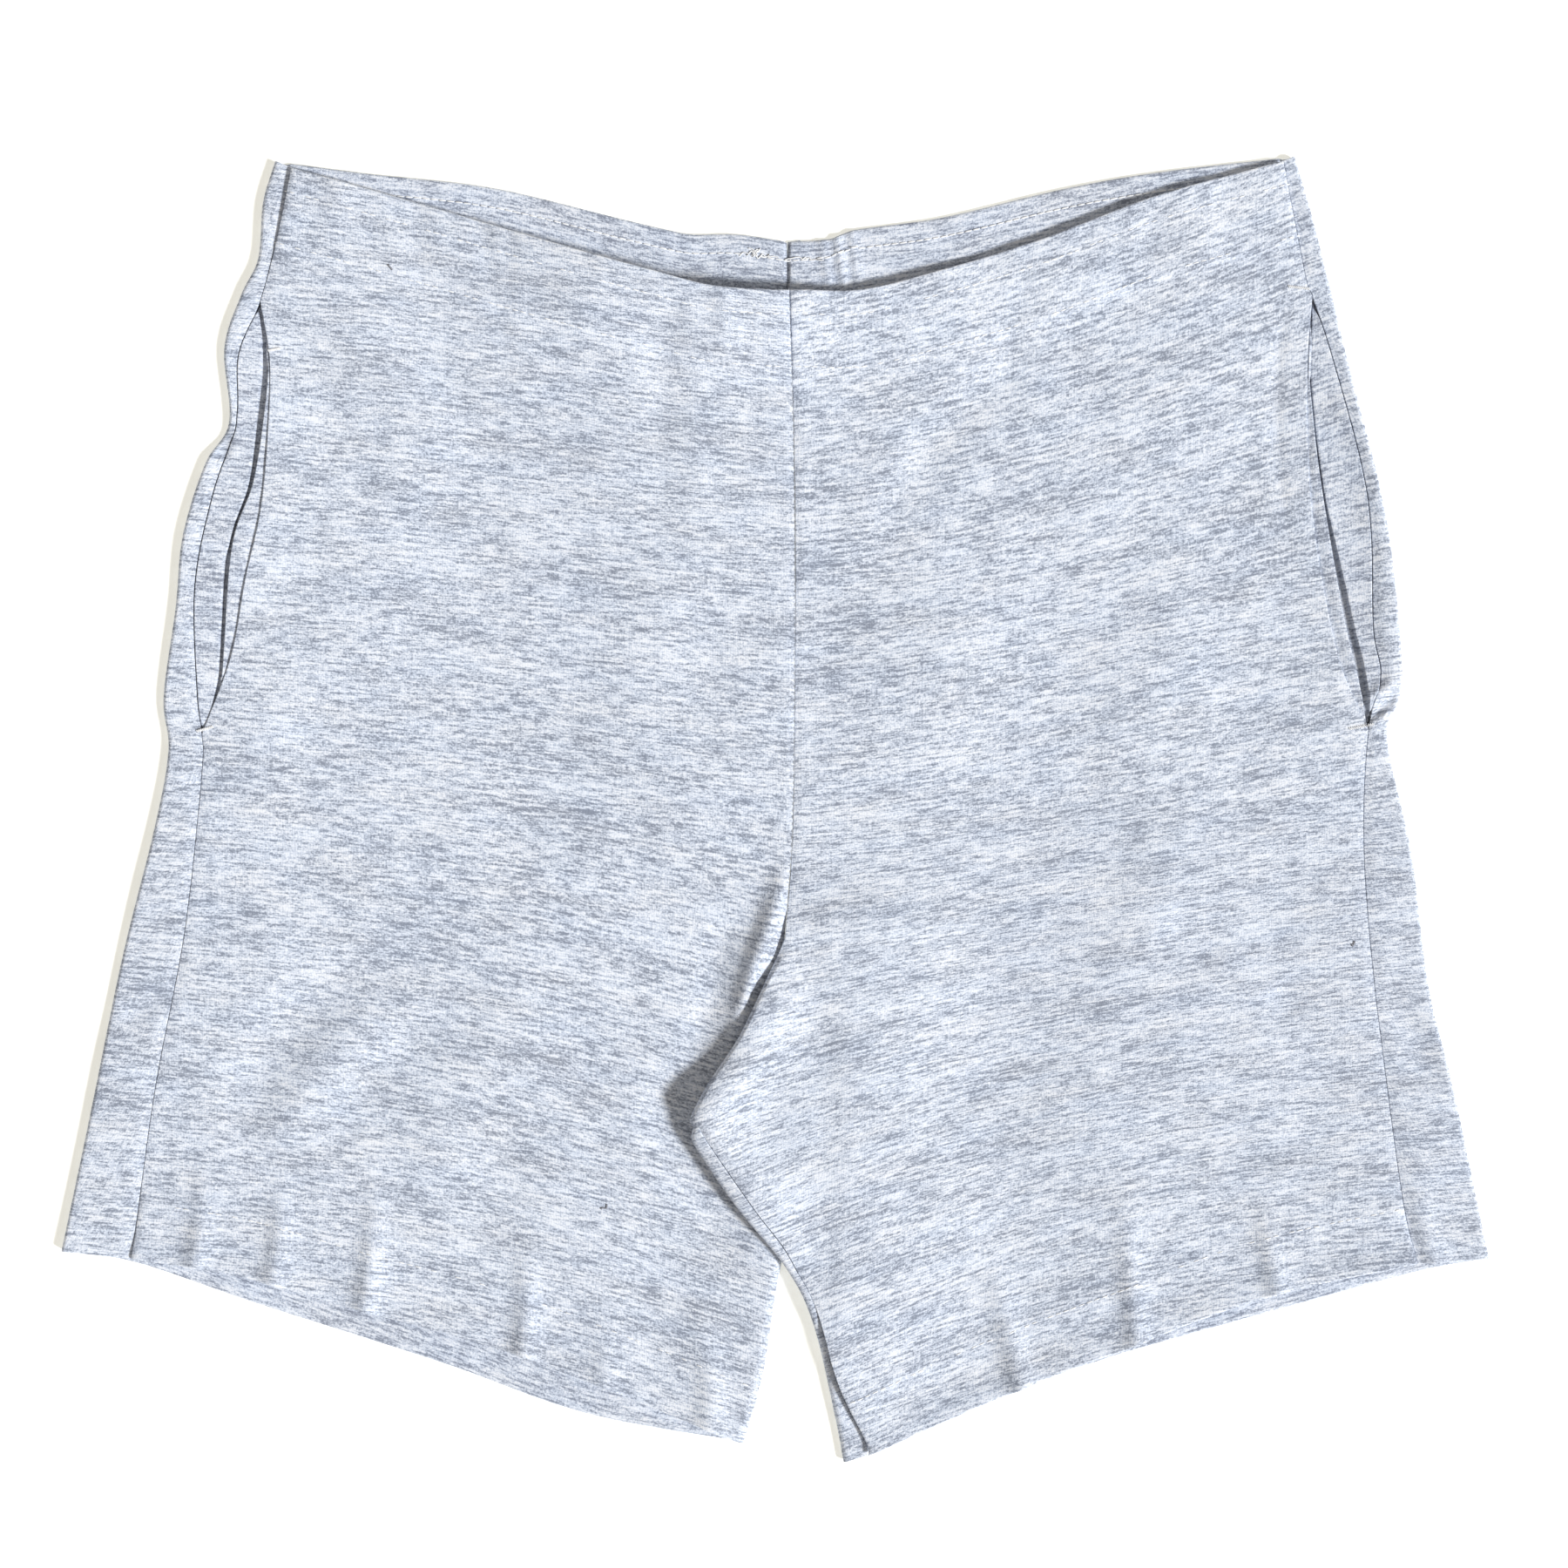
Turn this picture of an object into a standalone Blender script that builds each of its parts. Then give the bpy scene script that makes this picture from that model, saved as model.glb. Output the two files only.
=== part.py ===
"""Cotton jersey shorts laid flat, front up, waist towards +Y.

Lengths are in metres and +Z is up. The origin is under the middle of the garment, on the
surface that it lies on. Left and right are as seen from above, so the left leg is at -X.

Each piece that is cut and sewn is one closed wall of cloth. The pieces lie in four levels,
each one wall and one gap above the last:
  the back panels, which turn up round the side folds to the side seams on top;
  the turned-in casing, the turned-up hems and the pocket backs;
  the pocket fronts;
  the front panels.
The right leg lies over the left leg below the crotch fold.
"""

import bmesh
import bpy
import numpy as np

MM = 0.001

# Cloth
CLOTH = 0.0011          # wall of one layer of jersey
DOUBLED = 0.0024        # wall of the front where it is folded over: casing and hem
GAP = 0.0003            # room left between neighbouring pieces
LEVEL = CLOTH + GAP
CASING_DEPTH = 0.032
HEM_DEPTH = 0.025
STEP_RUN = 0.002        # length over which the doubled wall thins to one layer

# Heights above the surface
FRONT_TOP = 0.0053      # top of a leg lying on the surface
LEG_OVER_LEG = 0.0041   # thickness of the right leg where it lies on the left one
LIFT = FRONT_TOP + GAP  # how far the right leg is lifted there
LIFT_SHELF = 0.005      # how far past the left leg's edge it stays lifted
LIFT_RUN = 0.016        # run over which it then comes back down
LIFT_START_Y = -0.025   # the right leg starts to rise here on the centre seam
LIFT_FULL_Y = -0.053    # and lies on the left leg from here down
INSEAM_ALLOWANCE = 0.0012   # least room from the top of the inner fold to the inseam

# Pocket bags
BAG_DEPTH = 0.078
BAG_TOP_Y = 0.212
BAG_BOTTOM_Y = -0.030
BAG_CORNER = 0.060      # radius of the bag's lower inner corner
NARROW_MOUTH = 0.003    # a mouth narrower than this shows no pocket back
WIDE_MOUTH = 0.011      # one wider than this shows it up to the seam
FACING_GAP = 0.0015     # the pocket back has dropped under the front layer this far before it
LEAST_FALL = 0.0004     # shortest run that the pocket back falls over
BAG_TURN_END = 0.97     # share of the lower corner that is turned before the bag's flat bottom

# Turned edges
ROLL_RADIUS = 0.0016    # roll of the left front's inner edge down to the back
ROLL_TAIL = 0.0006
ROLL_STEPS = 3
ROLL_SHARES = (0.25, 0.5)   # of a half turn, on the first row below the crotch and the others
FOLD_START_SHARE = 0.35     # of the right leg's turn on its last row at the crotch
LEAST_SHARE = 1e-6
QUARTER = 0.49          # a turn of more than about this share reaches out by its own radius
LEAST_TAIL = 0.0006

# Turned-in strips: how far they stop short of the side fold and of the inner leg
CASING_END = 0.005
HEM_END = 0.005
HEM_END_LEFT_LEG = 0.006
HEM_END_RIGHT_LEG = 0.008

# Mesh divisions
WAIST_ROWS = 2
MOUTH_ROWS = 8
FOLD_ROWS = 3
LEG_ROWS = 5
FRONT_COLUMNS = 15
BACK_COLUMNS = 7
BAG_ROWS = 3            # of a pocket bag below its mouth
BAND_ROWS = 3           # on a doubled casing or hem
CASING_COLUMNS = 9
HEM_COLUMNS = 8
STEP_COLUMNS = 4        # added where the right leg steps up on to the left one
TURN_STEPS = 5
SHARP_ANGLE = np.radians(40)

# Colours
OUTSIDE_COLOUR = (0.620, 0.650, 0.750)
INSIDE_COLOUR = (0.560, 0.585, 0.680)
ROUGHNESS = 0.9

# Outlines in millimetres, from the waist down
CENTRE_FRONT = [(6, 214), (8, 130), (8, 46), (7, -11), (4, -53)]
CENTRE_BACK = [(5, 234), (6, 214), (8, 130), (8, 46), (7, -11), (4, -53)]
INNER_LEG_LEFT = [(4, -53), (11, -90), (13, -122), (9, -158), (1, -195), (-5, -233), (-13, -261)]
OVERLAP_EDGE = [(4, -53), (11, -90), (13, -122), (10, -158), (9, -180), (10, -198), (2, -225), (-13, -261)]
CROTCH_FOLD = [(4, -53), (-8, -79), (-16, -95), (-28, -113), (-36, -128)]
INNER_LEG_RIGHT = [(-36, -128), (-33, -138), (-16, -163), (4, -188), (15, -210), (24, -248), (28, -269)]
INSEAM_RIGHT = [(-33, -129), (-24, -143), (-8, -166), (6, -185), (17, -209), (27, -240), (39, -266)]

SIDE_FOLD_LEFT = [
    (-206, 267), (-211, 250), (-213, 227), (-220, 212), (-227, 190), (-225, 160), (-235, 142),
    (-244, 113), (-247, 83), (-252, 46), (-250, 24), (-256, -9), (-269, -61), (-281, -120), (-294, -182),
]
SIDE_SEAM_LEFT = [
    (-199, 264), (-205, 235), (-212, 209), (-221, 187), (-222, 160), (-232, 128), (-239, 91),
    (-238, 47), (-236, 31), (-236, 15), (-243, -50), (-255, -114), (-265, -185),
]
MOUTH_LEFT = [(-212, 209), (-208, 184), (-209, 151), (-212, 122), (-218, 95), (-224, 63), (-236, 31)]
FACING_LEFT = [(-212, 209), (-209, 189), (-210, 168), (-215, 135), (-224, 107), (-229, 46), (-236, 31)]

SIDE_FOLD_RIGHT = [
    (214, 269), (222, 241), (237, 180), (252, 117), (258, 61), (257, 45), (252, 29), (262, -18),
    (269, -72), (280, -118), (294, -185),
]
SIDE_SEAM_RIGHT = [
    (209, 267), (218, 220), (221, 211), (229, 187), (241, 141), (245, 113), (246, 74), (249, 55),
    (244, 33), (242, -5), (244, -47), (250, -101), (258, -160), (264, -187),
]
MOUTH_RIGHT = [(221, 211), (219, 184), (219, 149), (222, 113), (231, 65), (239, 44), (244, 33)]
FACING_RIGHT = [(221, 211), (220, 184), (221, 166), (225, 132), (234, 80), (240, 54), (244, 33)]

# Outlines in millimetres, from left to right
WAIST_BACK_LEFT = [
    (-206, 267), (-168, 262), (-116, 256), (-62, 243), (-45, 239), (-34, 237), (-16, 237), (5, 234),
]
WAIST_BACK_RIGHT = [(5, 234), (22, 235), (34, 239), (69, 244), (120, 256), (161, 263), (214, 269)]
WAIST_FRONT_LEFT = [(-199, 264), (-147, 250), (-86, 233), (-48, 223), (-20, 216), (6, 214)]
WAIST_FRONT_RIGHT = [(6, 214), (31, 214), (61, 221), (108, 235), (154, 252), (209, 267)]
HEM_BACK_LEFT = [(-294, -182), (-263, -187), (-213, -204), (-138, -228), (-78, -249), (-13, -261)]
HEM_BACK_RIGHT = [(28, -269), (40, -266), (79, -248), (135, -227), (201, -208), (263, -191), (294, -185)]
HEM_FRONT_LEFT = [(-265, -185), (-221, -192), (-175, -205), (-110, -223), (-50, -246), (-13, -261)]
HEM_FRONT_RIGHT = [(39, -264), (92, -241), (145, -221), (200, -201), (264, -187)]

# Ripples that run up from the front hems: place along the hem from 0 to 1, and height
RIPPLES_LEFT = [(0.10, 0.0010), (0.24, 0.0012), (0.42, 0.0010), (0.68, 0.0012)]
RIPPLES_RIGHT = [(0.24, 0.0012), (0.48, 0.0010), (0.72, 0.0012), (0.93, 0.0008)]
RIPPLE_WIDTH = 0.014
RIPPLE_REACH = 0.075
HEM_WIDTH = 0.28


def smooth(value):
    """Ease from 0 to 1 as value goes from 0 to 1, and hold outside that."""
    value = np.clip(value, 0.0, 1.0)
    return value * value * (3.0 - 2.0 * value)


class Curve:
    """A smooth plan curve through points in millimetres, read by its length in metres."""

    def __init__(self, *runs):
        pieces = [self.spline(np.array(run, float) * MM) for run in runs]
        self.points = np.concatenate([pieces[0]] + [piece[1:] for piece in pieces[1:]])
        steps = np.linalg.norm(np.diff(self.points, axis=0), axis=1)
        self.along = np.concatenate([[0.0], np.cumsum(steps)])
        self.length = self.along[-1]

    @staticmethod
    def spline(knots, fineness=24):
        """Catmull-Rom points through the knots."""
        ends = np.vstack([2 * knots[0] - knots[1], knots, 2 * knots[-1] - knots[-2]])
        t = np.linspace(0.0, 1.0, fineness, endpoint=False)[:, None]
        runs = []
        for a, b, c, d in zip(ends, ends[1:], ends[2:], ends[3:]):
            runs.append(0.5 * (2 * b + (c - a) * t + (2 * a - 5 * b + 4 * c - d) * t**2
                               + (3 * b - a - 3 * c + d) * t**3))
        return np.vstack(runs + [knots[-1:]])

    def at(self, distance):
        """Plan points at the given distances from the curve's start."""
        distance = np.asarray(distance, float)
        return np.stack([np.interp(distance, self.along, self.points[:, axis]) for axis in (0, 1)], axis=-1)

    def part(self, share):
        """Plan points at the given shares of the curve's length."""
        return self.at(np.asarray(share) * self.length)

    def x_at(self, y):
        """Where the curve crosses the given y, for a curve that only runs down."""
        return np.interp(-np.asarray(y), -self.points[:, 1], self.points[:, 0])

    def nearest(self, point):
        """Distance along the curve of the place nearest to a point in millimetres."""
        return self.along[np.argmin(np.linalg.norm(self.points - np.array(point) * MM, axis=1))]


def panel_rows(curve, breaks):
    """Distances of the rows on an edge: casing, runs between the breaks, hem."""
    top = [0.0, CASING_DEPTH / 2, CASING_DEPTH]
    hem = [curve.length - HEM_DEPTH, curve.length - HEM_DEPTH / 2, curve.length]
    first = CASING_DEPTH + STEP_RUN
    last = curve.length - HEM_DEPTH - STEP_RUN
    stops = [first, *breaks, last]
    runs = [np.linspace(start, stop, count + 1)[:-1]
            for start, stop, count in zip(stops, stops[1:], (WAIST_ROWS, MOUTH_ROWS, FOLD_ROWS + LEG_ROWS))]
    return np.concatenate([top, *runs, [last], hem])


def clear_of_fold(seam, fold, least):
    """Move seam points inwards where they are closer to the fold than a turn of cloth needs."""
    away = seam - fold
    reach = np.linalg.norm(away, axis=1, keepdims=True)
    return fold + away * np.maximum(reach, least) / reach


def patch(inner, outer, top, bottom, shares):
    """Plan grid between two side edges, bent to follow the top and bottom curves."""
    rows = len(inner)
    v = np.linspace(0.0, 1.0, rows)[:, None, None]
    u = shares[:, :, None]
    grid = (1 - u) * inner[:, None] + u * outer[:, None]
    for curve, row, weight in ((top, 0, 1 - v), (bottom, -1, v)):
        straight = (1 - u) * inner[row] + u * outer[row]
        grid = grid + weight * (curve(shares) - straight)
    return grid


def between(curve, start, end):
    """A function from shares to points on a curve, stretched to new end points."""
    def read(shares):
        share = np.asarray(shares)[..., None]
        shift = (1 - share) * (start - curve.part(0.0)) + share * (end - curve.part(1.0))
        return curve.part(shares) + shift
    return read


def turn(edge, heading, radius, share, tail, steps=TURN_STEPS):
    """Offsets of cloth that turns over at an edge, row by row.

    share is the part of a half turn that is made, and tail the straight length after it.
    Returns the plan start of the turn, and for each step the distance out along the heading
    and the rise. The cloth of a turn keeps its length, so with no turn it lies flat.
    """
    bend = np.maximum(share, LEAST_SHARE)[:, None] / radius[:, None]
    arc = np.linspace(0.0, 1.0, steps + 1)[1:] * np.pi * radius[:, None]
    out = np.sin(bend * arc) / bend
    rise = (1 - np.cos(bend * arc)) / bend
    last = share[:, None] * np.pi
    out = np.hstack([out, out[:, -1:] + tail[:, None] * np.cos(last)])
    rise = np.hstack([rise, rise[:, -1:] + tail[:, None] * np.sin(last)])
    reach = np.where(share > QUARTER, 1 / bend[:, 0], out[:, -1])
    return edge - heading * reach[:, None], out, rise


def lift_of_right_leg(x, y, left_edge):
    """How far the underside of the right leg is above the surface."""
    beside = 1 - smooth((x - left_edge.x_at(np.minimum(y, LIFT_FULL_Y)) - LIFT_SHELF) / LIFT_RUN)
    below = smooth((LIFT_START_Y - y) / (LIFT_START_Y - LIFT_FULL_Y))
    return LIFT * beside * below


def leg_thickness(lift):
    """Thickness of the right leg, which is pressed thinner where it lies on the left one."""
    return FRONT_TOP + (LEG_OVER_LEG - FRONT_TOP) * lift / LIFT


def ripple_height(shares, to_hem, ripples):
    """Height of the soft ripples that run up from a front hem."""
    height = np.zeros_like(shares)
    for place, size in ripples:
        across = (shares - place) * HEM_WIDTH / RIPPLE_WIDTH
        height += size * np.exp(-across**2)
    return height * np.exp(-(to_hem / RIPPLE_REACH)**2)


def normals_of(grid):
    """Unit normals of a grid of points."""
    down = np.gradient(grid, axis=0)
    along = np.gradient(grid, axis=1)
    normal = np.cross(along, down)
    return normal / np.linalg.norm(normal, axis=2, keepdims=True)


def cloth_material(name, colour):
    """Matt heather jersey."""
    material = bpy.data.materials.new(name)
    material.use_nodes = True
    shader = material.node_tree.nodes["Principled BSDF"]
    shader.inputs["Base Color"].default_value = (*colour, 1.0)
    shader.inputs["Roughness"].default_value = ROUGHNESS
    shader.inputs["Metallic"].default_value = 0.0
    return material


def add_wall(name, face, back, colour=OUTSIDE_COLOUR):
    """Close two matching grids of points into one wall of cloth."""
    rows, columns = face.shape[:2]
    shape = bmesh.new()
    sheets = [[[shape.verts.new(point) for point in row] for row in grid] for grid in (face, back)]
    for sheet in sheets:
        for i in range(rows - 1):
            for j in range(columns - 1):
                shape.faces.new((sheet[i][j], sheet[i][j + 1], sheet[i + 1][j + 1], sheet[i + 1][j]))
    rim = [(0, j) for j in range(columns)] + [(i, columns - 1) for i in range(1, rows)]
    rim += [(rows - 1, j) for j in range(columns - 2, -1, -1)] + [(i, 0) for i in range(rows - 2, 0, -1)]
    for (i, j), (k, m) in zip(rim, rim[1:] + rim[:1]):
        shape.faces.new((sheets[0][i][j], sheets[0][k][m], sheets[1][k][m], sheets[1][i][j]))
    bmesh.ops.recalc_face_normals(shape, faces=shape.faces)
    mesh = bpy.data.meshes.new(name)
    shape.to_mesh(mesh)
    shape.free()
    mesh.shade_smooth()
    mesh.set_sharp_from_angle(angle=SHARP_ANGLE)
    mesh.materials.append(cloth_material(name, colour))
    bpy.context.collection.objects.link(bpy.data.objects.new(name, mesh))


def with_height(plan, height):
    """Plan points raised to a height."""
    height = np.broadcast_to(height, plan.shape[:-1])
    return np.concatenate([plan, height[..., None]], axis=-1)


class Side:
    """The edge rows that the front and back of one side share."""

    def __init__(self, fold, seam, mouth, facing):
        self.fold_curve = Curve(fold)
        self.seam_curve = Curve(seam)
        self.mouth_curve = Curve(mouth)
        self.facing_curve = Curve(facing)
        self.mouth_start = self.seam_curve.nearest(mouth[0])
        self.mouth_end = self.seam_curve.nearest(mouth[-1])
        self.rows = panel_rows(self.seam_curve, (self.mouth_start, self.mouth_end))
        self.fold = self.fold_curve.part(self.rows / self.seam_curve.length)
        least = FRONT_TOP / 2 + CLOTH
        self.seam = clear_of_fold(self.seam_curve.at(self.rows), self.fold, least)

    def front_edge(self):
        """The front panel's side edge: the seam, with the pocket mouth cut out of it."""
        edge = self.seam.copy()
        in_mouth = (self.rows > self.mouth_start) & (self.rows < self.mouth_end)
        share = (self.rows[in_mouth] - self.mouth_start) / (self.mouth_end - self.mouth_start)
        edge[in_mouth] = self.mouth_curve.part(share)
        return edge


def towards(start, end):
    """Unit plan directions from one edge to another."""
    away = end - start
    return away / np.linalg.norm(away, axis=1, keepdims=True)


def centre_rows(seam, leg, corner=None):
    """Rows on an inner edge: the centre seam, then the edge of the leg, with one at its corner."""
    start = CASING_DEPTH + STEP_RUN
    top = [0.0, CASING_DEPTH / 2, CASING_DEPTH]
    rows = np.concatenate([top, np.linspace(start, seam.length, WAIST_ROWS + MOUTH_ROWS + 1)])
    last = leg.length - HEM_DEPTH - STEP_RUN
    hem = [leg.length - HEM_DEPTH, leg.length - HEM_DEPTH / 2, leg.length]
    bend = corner or last * FOLD_ROWS / (FOLD_ROWS + LEG_ROWS)
    down = np.concatenate([np.linspace(0.0, bend, FOLD_ROWS + 1)[1:],
                           np.linspace(bend, last, LEG_ROWS + 1)[1:], hem])
    return np.vstack([seam.at(rows), leg.at(down)]), len(rows) - 1


def front_thickness(rows, columns):
    """Wall of a front panel: doubled in its casing and its hem."""
    wall = np.full(rows, CLOTH)
    wall[:BAND_ROWS] = DOUBLED
    wall[-BAND_ROWS:] = DOUBLED
    return np.repeat(wall[:, None], columns, axis=1)


def front_panel(name, inner, outer, waist, hem, shares, height_of, ripples, roll=None):
    """One front panel, whose inner edge may roll down to meet the back panel."""
    plan = patch(inner, outer, between(waist, inner[0], outer[0]), between(hem, inner[-1], outer[-1]), shares)
    to_hem = np.linalg.norm(plan - plan[-1:], axis=2)
    height = height_of(plan) + ripple_height(shares, to_hem, ripples)
    face = with_height(plan, height)
    if roll:
        out, rise = roll
        heading = towards(outer, inner)
        rolled = with_height(inner[:, None] + heading[:, None] * out[:, :, None], height[:, :1] - rise)
        face = np.concatenate([rolled[:, ::-1], face], axis=1)
    side = 1.0 if outer[0, 0] > inner[0, 0] else -1.0
    wall = front_thickness(*face.shape[:2])[:, :, None]
    add_wall(name, face, face + side * normals_of(face) * wall)


def shares_for(inner, outer, step_line=None, columns=FRONT_COLUMNS):
    """Column places from 0 to 1 on each row, closer together beside the line of a step."""
    rows = len(inner)
    if step_line is None:
        return np.tile(np.linspace(0.0, 1.0, columns + 1), (rows, 1))
    width = np.linalg.norm(outer - inner, axis=1)[:, None]
    first = np.maximum(step_line[:, 0] - inner[:, 0], 0.0)[:, None]
    near = first + LIFT_SHELF + LIFT_RUN * np.array([0.0, 0.25, 0.5, 0.75, 1.0])
    far = np.linspace(0.0, 1.0, columns - STEP_COLUMNS)[1:]
    rest = near[:, -1:] + (width - near[:, -1:]) * far
    return np.hstack([np.zeros((rows, 1)), near, rest]) / width


def back_left(side):
    """The left back panel: flat, then up round the side fold to the side seam."""
    inner, _ = centre_rows(Curve(CENTRE_BACK), Curve(INNER_LEG_LEFT))
    inner[:, 0] -= GAP / 2
    heading = towards(side.seam, side.fold)
    radius = np.full(len(inner), FRONT_TOP / 2)
    tail = np.linalg.norm(side.seam - side.fold, axis=1) - radius - GAP / 2
    start, out, rise = turn(side.fold, heading, radius, np.ones(len(inner)), tail)
    shares = shares_for(inner, start, columns=BACK_COLUMNS)
    waist = between(Curve(WAIST_BACK_LEFT[::-1]), inner[0], start[0])
    hem = between(Curve(HEM_BACK_LEFT[::-1]), inner[-1], start[-1])
    flat = with_height(patch(inner, start, waist, hem, shares), 0.0)
    turned = with_height(start[:, None] + heading[:, None] * out[:, :, None], rise)
    face = np.concatenate([flat, turned], axis=1)
    add_wall("back_left", face, face + normals_of(face) * CLOTH)


def right_leg_edges(centre):
    """Inner edge rows of the right leg: its outer fold, its seam, and how far it turns over."""
    leg = Curve(CROTCH_FOLD, INNER_LEG_RIGHT)
    fold, last_on_seam = centre_rows(Curve(centre), leg, leg.nearest(CROTCH_FOLD[-1]))
    turned = np.zeros(len(fold))
    turned[last_on_seam] = FOLD_START_SHARE
    turned[last_on_seam + 1:] = 1.0
    return fold, turned, last_on_seam


def back_right(side):
    """The right back panel, turned up at the side fold and along the inside leg."""
    left_edge = Curve(CENTRE_BACK, OVERLAP_EDGE)
    inner, turned, _ = right_leg_edges(CENTRE_BACK)
    inner[:, 0] += GAP / 2
    heading = towards(side.seam, side.fold)
    radius = np.full(len(inner), FRONT_TOP / 2)
    tail = np.linalg.norm(side.seam - side.fold, axis=1) - radius - GAP / 2
    start, out, rise = turn(side.fold, heading, radius, np.ones(len(inner)), tail)

    inward = towards(start, inner)
    lift = lift_of_right_leg(inner[:, 0], inner[:, 1], left_edge)
    seam_run = inseam_run(inner) - GAP
    small = leg_thickness(lift) / 2
    small_tail = np.maximum(seam_run - small, LEAST_TAIL)
    inner_start, inner_out, inner_rise = turn(inner, inward, small, turned, small_tail)
    step = np.stack([left_edge.x_at(inner_start[:, 1]), inner_start[:, 1]], axis=1)
    shares = shares_for(inner_start, start, step, BACK_COLUMNS + STEP_COLUMNS)
    waist = between(Curve(WAIST_BACK_RIGHT), inner_start[0], start[0])
    hem = between(Curve(HEM_BACK_RIGHT), inner_start[-1], start[-1])
    plan = patch(inner_start, start, waist, hem, shares)
    height = lift_of_right_leg(plan[..., 0], plan[..., 1], left_edge)
    flat = with_height(plan, height)
    outer_turn = with_height(start[:, None] + heading[:, None] * out[:, :, None], height[:, -1:] + rise)
    inner_turn = with_height(inner_start[:, None] + inward[:, None] * inner_out[:, :, None],
                             height[:, :1] + inner_rise)
    face = np.concatenate([inner_turn[:, ::-1], flat, outer_turn], axis=1)
    add_wall("back_right", face, face - normals_of(face) * CLOTH)


def inseam_run(fold):
    """How far the inseam lies inside the right leg's inner fold, row by row."""
    seam = Curve(INSEAM_RIGHT)
    run = seam.x_at(fold[:, 1]) - fold[:, 0]
    at_leg = fold[:, 1] < INSEAM_RIGHT[0][1] * MM
    least = LEG_OVER_LEG / 2 + INSEAM_ALLOWANCE
    return np.where(at_leg, np.maximum(run, least), least)


def front_left(side):
    """The left front panel, from the centre seam to the side seam and the pocket mouth."""
    inner, last_on_seam = centre_rows(Curve(CENTRE_FRONT), Curve(INNER_LEG_LEFT))
    inner[:, 0] -= GAP / 2
    outer = side.front_edge()
    outer = outer + towards(outer, inner) * GAP / 2
    rolled = np.zeros(len(inner))
    rolled[last_on_seam + 1] = ROLL_SHARES[0]
    rolled[last_on_seam + 2:] = ROLL_SHARES[1]
    radius, tail = np.full(len(inner), ROLL_RADIUS), np.full(len(inner), ROLL_TAIL)
    start, out, rise = turn(inner, towards(outer, inner), radius, rolled, tail, ROLL_STEPS)
    front_panel("front_left", start, outer, Curve(WAIST_FRONT_LEFT[::-1]), Curve(HEM_FRONT_LEFT[::-1]),
                shares_for(start, outer), lambda plan: FRONT_TOP, RIPPLES_LEFT[::-1], (out, rise))


def front_right(side):
    """The right front panel, which rises over the left leg below the crotch fold."""
    left_edge = Curve(CENTRE_BACK, OVERLAP_EDGE)
    fold, _, last_on_seam = right_leg_edges(CENTRE_FRONT)
    outer = side.front_edge()
    outer = outer + towards(outer, fold) * GAP / 2
    inset = np.full(len(fold), GAP / 2)
    inset[last_on_seam:] = inseam_run(fold[last_on_seam:]) + GAP
    inner = fold + towards(fold, outer) * inset[:, None]
    step = np.stack([left_edge.x_at(inner[:, 1]), inner[:, 1]], axis=1)

    def height_of(plan):
        lift = lift_of_right_leg(plan[..., 0], plan[..., 1], left_edge)
        return lift + leg_thickness(lift)

    front_panel("front_right", inner, outer, Curve(WAIST_FRONT_RIGHT), Curve(HEM_FRONT_RIGHT),
                shares_for(inner, outer, step, FRONT_COLUMNS + 1), height_of, RIPPLES_RIGHT)


def strip(name, edge, depth, ends, columns):
    """A turned-in strip on a back panel, along its edge curve and a depth into the panel."""
    along = np.linspace(ends[0], edge.length - ends[1], columns + 1)
    line = edge.at(along)
    run = np.gradient(line, axis=0)
    across = np.stack([run[:, 1], -run[:, 0]], axis=1)
    across = across / np.linalg.norm(across, axis=1, keepdims=True) * np.sign(depth)
    reach = np.linspace(0.0, abs(depth), 3)
    plan = line[None] + across[None] * reach[:, None, None]
    face = with_height(plan, LEVEL + CLOTH)
    add_wall(name, face, with_height(plan, LEVEL), INSIDE_COLOUR)


def bag_inner_edge(outer, y, inward):
    """The bag's inner edge: straight down, then round the lower corner."""
    fall = np.clip((BAG_BOTTOM_Y + BAG_CORNER - y) / BAG_CORNER, 0.0, BAG_TURN_END)
    return outer + inward * (BAG_DEPTH - BAG_CORNER * (1 - np.sqrt(1 - fall**2)))


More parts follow.
